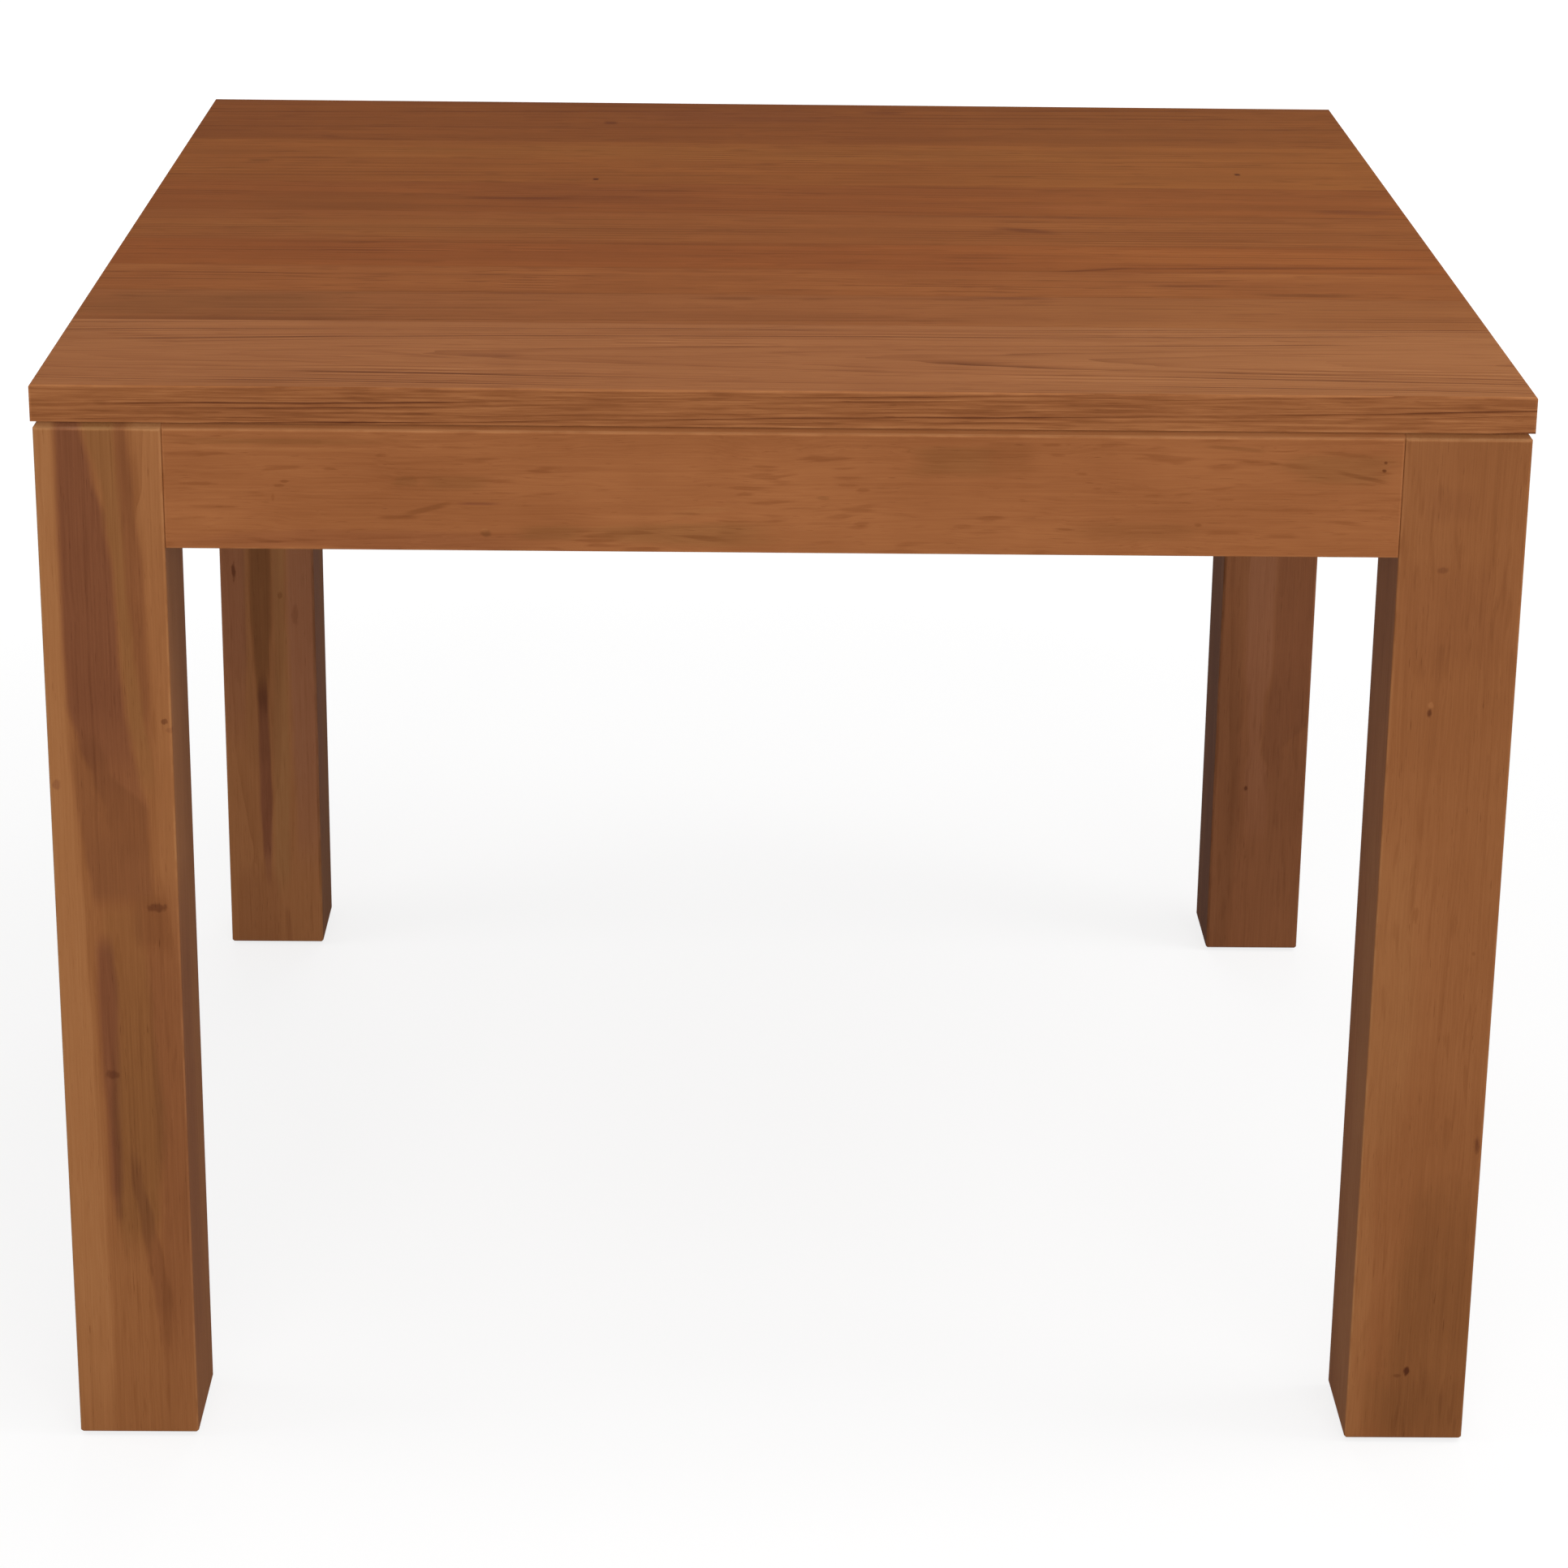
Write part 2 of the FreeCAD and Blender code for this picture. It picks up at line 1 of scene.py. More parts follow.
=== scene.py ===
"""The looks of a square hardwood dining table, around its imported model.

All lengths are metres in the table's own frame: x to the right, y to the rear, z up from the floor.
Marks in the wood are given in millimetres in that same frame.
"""

import math

import bmesh
import bpy
from mathutils import Matrix, Vector


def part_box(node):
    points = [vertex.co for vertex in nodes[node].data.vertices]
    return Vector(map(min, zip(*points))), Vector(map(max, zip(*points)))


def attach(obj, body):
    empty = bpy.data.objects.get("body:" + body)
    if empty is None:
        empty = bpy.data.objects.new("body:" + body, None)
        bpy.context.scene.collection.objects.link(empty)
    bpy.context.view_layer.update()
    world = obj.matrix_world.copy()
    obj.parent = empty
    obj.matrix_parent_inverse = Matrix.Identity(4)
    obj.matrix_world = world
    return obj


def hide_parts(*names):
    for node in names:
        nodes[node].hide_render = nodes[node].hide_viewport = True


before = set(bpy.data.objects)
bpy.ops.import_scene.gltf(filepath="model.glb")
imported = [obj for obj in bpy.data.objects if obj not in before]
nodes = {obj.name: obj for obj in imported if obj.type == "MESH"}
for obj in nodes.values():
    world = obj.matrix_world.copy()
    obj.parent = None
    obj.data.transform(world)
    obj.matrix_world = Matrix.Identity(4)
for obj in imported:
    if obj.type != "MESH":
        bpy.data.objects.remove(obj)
scene = bpy.context.scene
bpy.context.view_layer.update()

MM = 0.001
TURN = 2 * math.pi
UPWARD = Vector((0, 0, 1))
BODY = "root"
BOARDS = [f"top_board_{number}" for number in range(1, 9)]
APRONS = ["front_apron", "rear_apron", "left_apron", "right_apron"]
LEGS = ["leg_front_left", "leg_front_right", "leg_rear_right", "leg_rear_left"]
BLOCKS = [leg.replace("leg", "corner_block") for leg in LEGS]


# Shader nodes by short calls.

def linear(red, green, blue):
    """A colour written as a screen shows it, 0 to 255, as the shader wants it."""
    def one(level):
        level /= 255
        return level / 12.92 if level <= 0.04045 else ((level + 0.055) / 1.055) ** 2.4
    return (one(red), one(green), one(blue), 1.0)


class Graph:
    """The nodes of a material, or of a world. Most calls add one node and give back its output."""

    def __init__(self, name, owners=bpy.data.materials):
        self.owner = owners.new(name)
        self.owner.use_nodes = True
        self.tree = self.owner.node_tree
        self.tree.nodes.clear()

    def node(self, kind, inputs=None, **settings):
        made = self.tree.nodes.new("ShaderNode" + kind)
        for name, setting in settings.items():
            setattr(made, name, setting)
        for place, given in (inputs or {}).items():
            if isinstance(given, bpy.types.NodeSocket):
                self.tree.links.new(given, made.inputs[place])
            else:
                made.inputs[place].default_value = given
        return made

    def math(self, operation, *given, clamp=False):
        return self.node("Math", dict(enumerate(given)), operation=operation, use_clamp=clamp).outputs[0]

    def add(self, *given):
        total = given[0]
        for one in given[1:]:
            total = self.math("ADD", total, one)
        return total

    def times(self, a, b):
        return self.math("MULTIPLY", a, b)

    def swing(self, value, amount):
        """A 0 to 1 value as a swing of amount either side of nothing."""
        return self.math("MULTIPLY_ADD", value, 2 * amount, -amount)

    def vector(self, operation, *given):
        return self.node("VectorMath", dict(enumerate(given)), operation=operation).outputs[0]

    def length(self, vector):
        return self.node("VectorMath", {0: vector}, operation="LENGTH").outputs["Value"]

    def split(self, vector):
        return self.node("SeparateXYZ", {0: vector}).outputs

    def joined(self, x, y, z):
        return self.node("CombineXYZ", {0: x, 1: y, 2: z}).outputs[0]

    def most(self, value, other):
        """The greater of two values, or the other where there is no first one yet."""
        return self.math("MAXIMUM", value, other) if value else other

    def noise(self, vector, scale=1.0, detail=2.0, roughness=0.5):
        """A noise, 0 to 1. A scale of three numbers stretches it."""
        if isinstance(scale, tuple):
            vector, scale = self.vector("MULTIPLY", vector, scale), 1.0
        given = {"Vector": vector, "Scale": scale, "Detail": detail, "Roughness": roughness}
        return self.node("TexNoise", given).outputs["Fac"]

    def line_noise(self, value, scale, detail=1.0):
        given = {"W": value, "Scale": scale, "Detail": detail}
        return self.node("TexNoise", given, noise_dimensions="1D").outputs["Fac"]

    def fade(self, value, start, end, low=0.0, high=1.0):
        """low at start to high at end, with a soft run at both."""
        given = {"Value": value, "From Min": start, "From Max": end, "To Min": low, "To Max": high}
        return self.node("MapRange", given, interpolation_type="SMOOTHSTEP").outputs["Result"]

    def tinted(self, share, colour, hue):
        made = self.node("Mix", {0: share, 6: colour, 7: hue}, data_type="RGBA", blend_type="MULTIPLY")
        return made.outputs[2]

    def ramp(self, value, stops, how="LINEAR"):
        made = self.node("ValToRGB", {0: value})
        made.color_ramp.interpolation = how
        elements = made.color_ramp.elements
        while len(elements) < len(stops):
            elements.new(1.0)
        for element, (place, colour) in zip(elements, stops):
            element.position = place
            element.color = colour
        return made.outputs["Color"]

    def bump(self, height, strength, distance):
        return self.node("Bump", {"Height": height, "Strength": strength, "Distance": distance}).outputs[0]

    def finish(self, **sockets):
        """The material, with a surface whose sockets are named with _ for each space."""
        given = {place.replace("_", " "): value for place, value in sockets.items()}
        self.node("OutputMaterial", {"Surface": self.node("BsdfPrincipled", given).outputs[0]})
        return self.owner


# Wood. Every piece is cut from a log of its own: growth rings around a pith line outside the piece, so
# that all its faces, end grain too, show the same rings.

TONES = (0.0, 0.28, 0.5, 0.72, 1.0)
FINISHED = (linear(84, 42, 21), linear(112, 63, 31), linear(137, 82, 43), linear(158, 100, 56),
            linear(178, 121, 73))
BARE = (linear(120, 84, 52), linear(150, 112, 74), linear(174, 136, 96), linear(190, 154, 114),
        linear(205, 172, 134))
PURPLE = (0.84, 0.81, 1.1, 1)
OLIVE = (0.9, 0.98, 0.96, 1)
# The tint of a painted sheen on the upper face of the top's right end.
PAINTED_SHEEN_TINT = (1.08, 1.15, 1.18, 1)

# How often each noise of the figure repeats in a metre, along the grain and in both ways across it, and
# its detail and roughness where they aren't the usual ones.
FIGURE = {
    "wander": ((1.3, 6, 6), 1),
    "waver": ((9, 60, 60),),
    "patch": ((4, 16, 16),),
    "stray": ((12, 28, 28),),
    "streak": ((2.4, 26, 26), 3, 0.55),
    "fibre": ((14, 900, 900), 2, 0.6),
    "thread": ((2.6, 300, 300),),
    "cloud": ((8, 20, 20),),
    "dash": ((26, 230, 230), 1),
    "curl": ((36, 8, 8), 1),
    "pore": ((60, 1500, 1500), 1),
    "edge line": ((19, 1, 600), 3, 0.65),
    "long rag": ((9, 70, 70), 2, 0.6),
    "short rag": ((150, 330, 330), 2, 0.6),
}

# Between which of its values each noise comes to show.
SHOWS = {"patch": (0.42, 0.6), "thread": (0.56, 0.7), "dash": (0.56, 0.7), "pore": (0.66, 0.78)}
CLOUD_DASHED = (0.42, 0.56)
RUBBED = (0.35, 0.62)

# Rings and fibres. The steps are what sets one log's noises apart from the next one's.
LOG_STEP = (3.17, 1.31, 2.23)
RING_STEP = 7.0
WANDER, WAVER = 0.005, 0.0011
LATE_POWER = 3.5
BAND_SCALE = 60.0
PORE_TONE = -0.18
EDGE_TONE = -0.045

# Marks, stripes and ripples, in millimetres, and how ragged their edges are.
TONE = 0.01
LARGE_MARK = 15
RAG = 0.5
SIDE_FROM, SIDE_SPAN, SIDE_RAG = -10, 110, 5
STRIPE_DEPTH = (60, 35)
RIPPLE, RIPPLE_TONE, RIPPLE_FIRM = 8.5, 0.095, 0.7
RIPPLE_WANDER, RIPPLE_WAVER = 0.006, 0.002

# Where rubbed edges, lightened partly as a painted highlight, glue lines, the painted light on the bevel
# under the top and the painted highlight on its arris show, in metres, and how they change the tone.
LEG_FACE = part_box("leg_front_right")[1].x
BEVEL = 0.005
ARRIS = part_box(BOARDS[0])[0].z - BEVEL
PAINTED_BEVEL_LIGHT_TONE, PAINTED_ARRIS_HIGHLIGHT_TONE, END_TONE, SEAM_TONE = 0.17, 0.14, -0.24, -0.16
ARRIS_HIGHLIGHT_WIDTH = (0.0011, 0.0004)
WORN_HIGHLIGHT_WIDTH = (0.002, 0.0005)
SEAM_WIDTH = (0.0006, 0.0001)
END_GRAIN = (0.8, 0.95)
PLANER_STEP = 0.0035


class Wood(Graph):
    """The nodes of one piece's wood, with the places that its figure follows."""

    def __init__(self, name, grain, seed, turned):
        super().__init__(name)
        given = self.node("TexCoord").outputs
        self.place = place = given["Object"]
        self.facing = given["Normal"]
        if turned:
            place, self.facing = [
                self.node("Mapping", {"Vector": vector, "Rotation": (0, 0, turned)}).outputs[0]
                for vector in (place, self.facing)
            ]
        self.grain = grain
        self.along, self.across, self.deep = self.sides(place)
        log = [seed * step for step in LOG_STEP]
        self.fibres = self.vector("ADD", self.joined(self.along, self.across, self.deep), log)
        self.wander, self.waver = self.figure("wander", self.fibres), self.figure("waver", self.fibres)
        self.rag = {
            large: self.swing(self.figure(kind, self.fibres), RAG)
            for large, kind in ((True, "long rag"), (False, "short rag"))
        }

    def sides(self, vector):
        """A vector's part along the grain and its two parts across it."""
        x, y, z = self.split(vector)
        return {"x": (x, y, z), "y": (y, x, z), "z": (z, x, y)}[self.grain]

    def figure(self, kind, place):
        """One noise of the figure, 0 to 1."""
        return self.noise(place, *FIGURE[kind])

    def shown(self, kind, place, low=0.0):
        """One noise of the figure, low where it doesn't show and 1 where it does."""
        return self.fade(self.figure(kind, place), *SHOWS[kind], low)


def growth(g, seed, pith, ring, tilt):
    """The rings around the heart: each one's dark late wood, the bands over several, and how far through
    its ring a point is."""
    side, depth = [
        g.math("MULTIPLY_ADD", g.along, -lean, g.math("SUBTRACT", way, heart))
        for way, heart, lean in zip((g.across, g.deep), pith, tilt)
    ]
    radius = g.math("SQRT", g.add(g.times(side, side), g.times(depth, depth)))
    radius = g.add(radius, g.swing(g.wander, WANDER), g.swing(g.waver, WAVER))
    rings = g.math("DIVIDE", radius, ring)
    through = g.math("FRACT", rings)
    number = g.math("ADD", g.math("FLOOR", rings), seed * RING_STEP)
    weight = g.node("TexWhiteNoise", {"W": number}, noise_dimensions="1D").outputs["Value"]
    late = g.times(g.math("POWER", through, LATE_POWER), g.fade(weight, 0.15, 1.0, 0.1, 1.0))
    late = g.times(late, g.shown("patch", g.fibres, 0.2))
    return late, g.line_noise(radius, BAND_SCALE, 2.0), through


def shading(g, late, band, through, tone, wavy=0.0008, lines=0.26, bands=0.04, streaks=0.055,
            mottle=0.07, threads=0.06, fuzz=0.12, dashes=0.09, curl=0.015, tight=0.0):
    """The figure's tone, 0 to 1, and its fibres and pores. wavy is how far the fibres stray. The rest are
    how strong each part of the figure is, from ring lines and short dark dashes to curl, which crosses
    the grain, and tight, close lines on an edge."""
    stray = g.swing(g.figure("stray", g.fibres), wavy)
    curly = g.vector("ADD", g.fibres, g.joined(0.0, stray, stray))
    fibre = g.figure("fibre", curly)
    cloud = g.figure("cloud", g.fibres)
    dash = g.times(g.shown("dash", curly), g.fade(cloud, *CLOUD_DASHED))
    pore = g.times(g.shown("pore", curly), g.fade(through, 0.9, 0.1, 0.35, 1.0))
    shade = g.add(
        g.swing(band, bands), g.swing(g.figure("streak", g.fibres), streaks),
        g.swing(cloud, mottle), g.swing(fibre, fuzz), g.times(late, -lines),
        g.times(pore, PORE_TONE), g.times(g.shown("thread", curly), -threads),
        g.times(dash, -dashes), g.swing(g.figure("curl", g.fibres), curl), 0.5 + tone,
    )
    if tight:
        close = g.add(g.swing(g.figure("edge line", curly), tight), EDGE_TONE)
        upright = g.fade(g.math("ABSOLUTE", g.split(g.facing)[1]), *END_GRAIN)
        shade = g.add(shade, g.times(close, upright))
    return shade, fibre, pore


def spot(g, middle, size, lean=0.0, firm=RIPPLE_FIRM):
    """A patch, 1 in its middle. A large one has long straight sides, and a small one is round. firm is
    where its edge ends."""
    where = g.vector("ADD", g.place, -Vector(middle) * MM)
    if lean:
        x, y, z = g.split(where)
        where = g.joined(x, g.math("MULTIPLY_ADD", x, lean, y), g.math("MULTIPLY_ADD", x, lean, z))
    where = g.vector("MULTIPLY", where, [1 / (length * MM) for length in size])
    large = max(size[0], size[2]) > LARGE_MARK
    spread = g.math("SQRT", g.length(g.vector("MULTIPLY", where, where))) if large else g.length(where)
    return g.fade(g.add(spread, g.rag[large]), 1.0, firm)


def stripe(g, height, side, soft, edges):
    """A band that runs down a leg, 1 inside it. edges are heights, where its two sides are there, in
    millimetres from the leg's left face, and its strength if that isn't full."""
    high, low = edges[0][0] * MM, edges[-1][0] * MM
    stops = []
    for level, left, right, *strength in reversed(edges):
        sides = [(value - SIDE_FROM) / SIDE_SPAN for value in (left, right)]
        stops.append(((level * MM - low) / (high - low), (*sides, *(strength or [1.0]), 1.0)))
    up = g.math("DIVIDE", g.math("SUBTRACT", height, low), high - low, clamp=True)
    left, right, strength = g.split(g.ramp(up, stops, "EASE"))
    past, short = [
        g.fade(g.math("SUBTRACT", a, b), -soft / SIDE_SPAN, soft / SIDE_SPAN)
        for a, b in ((side, left), (right, side))
    ]
    return g.times(g.times(past, short), strength)


def stained(g, shade, marks, firm, stripes, corner, face):
    """The tone with its marks and stripes, and where they turn it purple or olive."""
    spots = []
    for tone, middle, size, *more in marks:
        lean, purple, olive = (*more, 0, 0, 0)[:3]
        spots.append((spot(g, middle, size, lean, firm), tone, purple, olive))
    if stripes:
        x, y, z = g.split(g.place)
        side = g.math("DIVIDE", g.math("SUBTRACT", x, corner.x + SIDE_FROM * MM), SIDE_SPAN * MM)
        side = g.math("MULTIPLY_ADD", g.rag[True], SIDE_RAG / SIDE_SPAN, side)
        near = g.fade(g.math("SUBTRACT", y, face * MM), *[depth * MM for depth in STRIPE_DEPTH])
        for tone, purple, olive, soft, edges in stripes:
            spots.append((g.times(stripe(g, z, side, soft, edges), near), tone, purple, olive))
    hues = {}
    for where, tone, *shares in spots:
        shade = g.math("MULTIPLY_ADD", where, tone * TONE, shade)
        for hue, share in zip((PURPLE, OLIVE), shares):
            if share:
                hues[hue] = g.most(hues.get(hue), g.times(where, share))
    return shade, hues


def rippled(g, ripples):
    """Close lines that show in some places, as a swing of the tone."""
    stray = g.swing(g.waver, RIPPLE_WAVER), g.swing(g.wander, RIPPLE_WANDER)
    wave = g.math("SINE", g.times(g.add(g.across, *stray), TURN / (RIPPLE * MM)))
    places = None
    for middle, size in ripples:
        places = g.most(places, spot(g, middle, size))
    return g.times(g.times(wave, places), RIPPLE_TONE)


def edge_distance(g, low, high):
    """How far a point of a box's surface is from the box's nearest edge."""
    away = g.vector("ABSOLUTE", g.vector("ADD", g.place, -(low + high) / 2))
    x, y, z = g.split(g.vector("SUBTRACT", (high - low) / 2, away))
    farther = g.math("MAXIMUM", x, y)
    return g.math("MAXIMUM", g.math("MINIMUM", x, y), g.math("MINIMUM", farther, z))


def wear_and_painted_light(g, shade, box, beveled):
    """The tone with its rubbed edges, lightened partly by rubbing and partly as a painted highlight, and
    where they are. On a beveled piece they are brighter, and the bevel under the top gets painted light and
    the arris below it a painted highlight."""
    near_edge = edge_distance(g, *box)
    if beveled:
        x, y, z = g.split(g.place)
        outside = g.math("MAXIMUM", g.math("ABSOLUTE", x), g.math("ABSOLUTE", y))
        inside = g.fade(outside, LEG_FACE - 0.0018, LEG_FACE - 0.0028, 0.0, 0.02)
        near_arris = g.add(g.math("ABSOLUTE", g.math("SUBTRACT", z, ARRIS)), inside)
        near_edge = g.math("MINIMUM", near_edge, near_arris)
        # Painted light on the bevel under the top, and a painted highlight along the arris below it.
        painted_bevel_light = g.fade(outside, LEG_FACE - BEVEL - 0.001, LEG_FACE - BEVEL)
        painted_bevel_light = g.times(g.fade(z, ARRIS, ARRIS + 0.0006), painted_bevel_light)
        painted_arris_highlight = g.fade(near_arris, *ARRIS_HIGHLIGHT_WIDTH)
        shade = g.add(shade, g.times(painted_bevel_light, PAINTED_BEVEL_LIGHT_TONE), g.times(painted_arris_highlight, PAINTED_ARRIS_HIGHLIGHT_TONE))
    # Rubbed edges are lightened, partly by rubbing and partly as a painted highlight, more on beveled pieces.
    rubbed = g.fade(g.noise(g.place, 40.0, 3.0), *RUBBED, 0.3)
    worn_and_highlight = g.times(g.fade(near_edge, *WORN_HIGHLIGHT_WIDTH), rubbed)
    return g.add(shade, g.times(worn_and_highlight, 0.22 if beveled else 0.15)), worn_and_highlight


def surface(g, colour, raw, late, fibre, pore, end, worn_and_highlight):
    """The satin of a thin lacquer, drier in the pores, at the ends and along rubbed edges. Raw wood is
    duller and has the planer's fine waves."""
    haze = g.noise(g.place, 7.0, 3.0)
    dull = g.add(
        0.66 if raw else 0.5, g.swing(haze, 0.06), g.swing(fibre, 0.07), g.times(late, -0.05),
        g.times(pore, 0.12), g.times(end, 0.12), g.times(worn_and_highlight, 0.05),
    )
    height = g.add(g.swing(fibre, 0.35), g.times(pore, -1.0), g.times(late, 0.25))
    if raw:
        planed = g.math("SINE", g.times(g.along, TURN / PLANER_STEP))
        height = g.math("MULTIPLY_ADD", planed, 0.35, height)
    return g.finish(Base_Color=colour, Roughness=dull, Normal=g.bump(height, 0.45, 0.00012),
                    Specular_IOR_Level=0.0, Coat_Weight=0.03 if raw else 0.08, Coat_Roughness=0.38)


def wood(name, grain, seed, pith, ring, box, tilt=(0, 0), tone=0, tint=(1, 1, 1), marks=(), firm=0.3,
         stripes=(), face=0, ripples=(), joints=(), faded=0, turned=0, beveled=False, raw=False, **strengths):
    """One piece's wood. pith is where the log's heart runs, across the grain, ring how wide its rings are,
    and tilt how the heart leans along the piece. marks are stains and knots, and on the rear legs' inner
    faces painted shade: tone in hundredths, middle, half sizes, drift across the grain along their length,
    and how purple and how olive they are. stripes are bands on a leg's face: tone, purple and olive shares,
    softness and edges. ripples are where close lines show, by middle and half sizes. joints are glue lines,
    and faded is how strong a painted sheen is, a paler tint on the upper face of the right end.
    shading tells what strengths there are."""
    g = Wood(name, grain, seed, turned)
    late, band, through = growth(g, seed, pith, ring, tilt)
    shade, fibre, pore = shading(g, late, band, through, tone, **strengths)
    shade, hues = stained(g, shade, marks, firm, stripes, box[0], face)
    if ripples:
        shade = g.add(shade, rippled(g, ripples))

    # The end grain drinks more finish, and the edges are handled most, lightened partly by that and partly
    # as a painted highlight; the bevel under the top gets painted light.
    end = g.fade(g.math("ABSOLUTE", g.sides(g.facing)[0]), *END_GRAIN)
    shade, worn_and_highlight = wear_and_painted_light(g, g.add(shade, g.times(end, END_TONE)), box, beveled)
    for joint in joints:
        seam = g.fade(g.math("ABSOLUTE", g.math("SUBTRACT", g.across, joint)), *SEAM_WIDTH)
        shade = g.math("MULTIPLY_ADD", seam, SEAM_TONE, shade)

    colour = g.ramp(shade, list(zip(TONES, BARE if raw else FINISHED)))
    hues[(*tint, 1)] = 1.0
    # A painted sheen: the upper face of the top's right end is tinted paler, as if lit more.
    if faded:
        above = g.fade(g.split(g.facing)[2], 0.5, 0.9, 0.0, faded)
        hues[PAINTED_SHEEN_TINT] = g.times(g.fade(g.along, 0.08, 0.28), above)
    for hue, share in hues.items():
        colour = g.tinted(share, colour, hue)
    return surface(g, colour, raw, late, fibre, pore, end, worn_and_highlight)


def dress(node, material):
    """Gives a CAD node its material."""
    piece = nodes[node]
    if not piece.material_slots:
        piece.data.materials.append(material)
    for place in piece.material_slots:
        place.material = material


# The top: eight boards, told one by one from the front edge to the rear, where the tone is darkest.

top_low = Vector([min(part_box(board)[0][axis] for board in BOARDS) for axis in range(3)])
top_high = Vector([max(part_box(board)[1][axis] for board in BOARDS) for axis in range(3)])
THROUGH = 40


def from_above(middle, size):
    """A place and half sizes seen from above, with the top's height and a depth right through it."""
    return (*middle, top_high.z / MM), size if len(size) == 3 else (*size, THROUGH)


def board(number, marks=(), ripples=(), **told):
    node = BOARDS[number - 1]
    low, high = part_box(node)
    glue = [edge for edge in (low.y, high.y) if top_low.y < edge < top_high.y]
    marks = [(tone, *from_above(middle, size), *more) for tone, middle, size, *more in marks]
    ripples = [from_above(middle, size) for middle, size in ripples]
    dress(node, wood(f"top_wood_{number}", "x", number, box=(top_low, top_high), joints=glue,
                     marks=marks, ripples=ripples, **told))


board(
    1, pith=(-0.413, 0.663), ring=0.0028, tilt=(0.0, 0.022), tone=0.14, tint=(0.98, 0.99, 1.12), faded=0.8,
    lines=0.88, bands=0.05, threads=0.11, fuzz=0.16, tight=0.4,
    marks=(
        (-8, (250, -355), (260, 2.2), -0.02), (-7, (190, -385), (170, 2.6), -0.02),
        (-8, (-285, -389), (30, 2.2), -0.12), (-9, (-250, -412), (38, 4), 0.3),
        (-8, (-320, -434), (60, 2.4), 0.2), (-8, (-130, -420), (36, 2.4), 0.18),
        (-10, (-200, -410), (30, 8), 0, 0.15), (-6, (350, -452), (140, 2.4), -0.02),
        (-8, (-45, -474), (40, 2.4)), (-7, (260, -492), (200, 3)), (-8, (-380, -488), (100, 4)),
        (4, (-400, -350), (110, 34)),
    ),
    ripples=(
        ((130, -350), (80, 14)), ((-95, -370), (24, 12)), ((-25, -373), (26, 7)), ((215, -460), (75, 12)),
        ((420, -441), (100, 12)), ((-250, -455), (110, 18)),
    ),
)
board(
    2, pith=(-0.14, 0.6), ring=0.0055, tilt=(0.02, 0.0), tone=0.04, tint=(0.96, 0.92, 0.91), faded=0.95,
    marks=(
        (-6, (-400, -268), (140, 56), 0, 0, 0.5), (-3, (-100, -285), (260, 26)),
        (-10, (-400, -313), (120, 5)), (-13, (-38, -241), (24, 6)), (-5, (80, -238), (150, 4), -0.03),
        (-10, (170, -232), (40, 6), 0, 0.3), (-7, (455, -289), (55, 3)), (-6, (415, -312), (95, 4)),
    ),
)
board(
    3, pith=(-0.36, 0.62), ring=0.0055, tilt=(-0.02, 0.01), tone=0.04, tint=(0.96, 0.87, 0.75), faded=0.3,
    lines=0.32, streaks=0.075, mottle=0.1, fuzz=0.15, dashes=0.13, curl=0.03,
    marks=(
        (10, (370, -156), (140, 7)), (-10, (130, -192), (42, 5)), (-13, (300, -190), (34, 6), -0.06),
        (-17, (380, -217), (48, 7), 0, 0, 0.3), (5, (-130, -166), (200, 6)), (-7, (-385, -187), (22, 3)),
    ),
    ripples=(
        ((-185, -200), (24, 26)), ((-400, -178), (60, 12)),
    ),
)
board(
    4, pith=(0.02, 0.66), ring=0.0055, tilt=(0.015, 0.015), tone=-0.005, tint=(0.98, 0.83, 0.64), faded=0.7,
    marks=(
        (-3, (-180, -104), (310, 44)), (8, (350, -98), (190, 34)), (-22, (370, -131), (150, 5), -0.04),
        (-20, (225, -144), (50, 4), -0.25), (-10, (-160, -67), (300, 4), 0, 0, 0.5),
        (-10, (150, -105), (30, 5)), (-7, (-45, -106), (36, 6)),
    ),
    ripples=(
        ((-300, -95), (60, 14)), ((-180, -88), (26, 9)), ((150, -116), (30, 8)),
    ),
)
board(
    5, pith=(0.16, 0.62), ring=0.006, tilt=(0.0, -0.02), tone=0.015, tint=(0.95, 0.86, 0.7), faded=0.4,
    marks=(
        (4, (-290, -20), (260, 34), 0, 0, 0.35), (-13, (200, 39), (145, 5), 0, 0.2),
        (-10, (195, -10), (30, 9), 0.35, 0.3), (-10, (350, -38), (42, 3)), (-9, (380, -58), (120, 3)),
    ),
    ripples=(
        ((330, -52), (110, 9)), ((-185, -24), (16, 14)),
    ),
)
board(
    6, pith=(0.27, 0.62), ring=0.0055, tilt=(-0.015, 0.01), tone=-0.02, tint=(0.95, 0.815, 0.61), faded=0.6,
    marks=(
        (-13, (-205, 94), (50, 6), 0, 0.2), (-6, (-140, 105), (110, 50), 0, 0.12),
        (7, (235, 77), (65, 12), 0, 0.2), (-8, (460, 66), (38, 9), 0, 0.4),
        (-3, (-340, 75), (130, 44), 0, 0, 0.4),
    ),
)
board(
    7, pith=(0.08, 0.6), ring=0.006, tilt=(0.0, 0.02), tint=(0.975, 0.88, 0.63), mottle=0.085, dashes=0.11,
    faded=0.85,
    marks=(
        (4, (-60, 280), (400, 44), 0, 0, 0.4), (-50, (-148, 169), (3.0, 4.6, 20)),
        (-50, (383, 210), (3.0, 4.8, 20)), (-12, (-40, 150), (46, 5)), (8, (-35, 160), (44, 4)),
        (-12, (-395, 247), (46, 4)), (-14, (-430, 232), (15, 9), 0, 0, 0.3), (-8, (-262, 252), (16, 5)),
    ),
    ripples=(
        ((-66, 264), (34, 26)), ((-185, 252), (22, 14)), ((22, 246), (16, 14)),
    ),
)
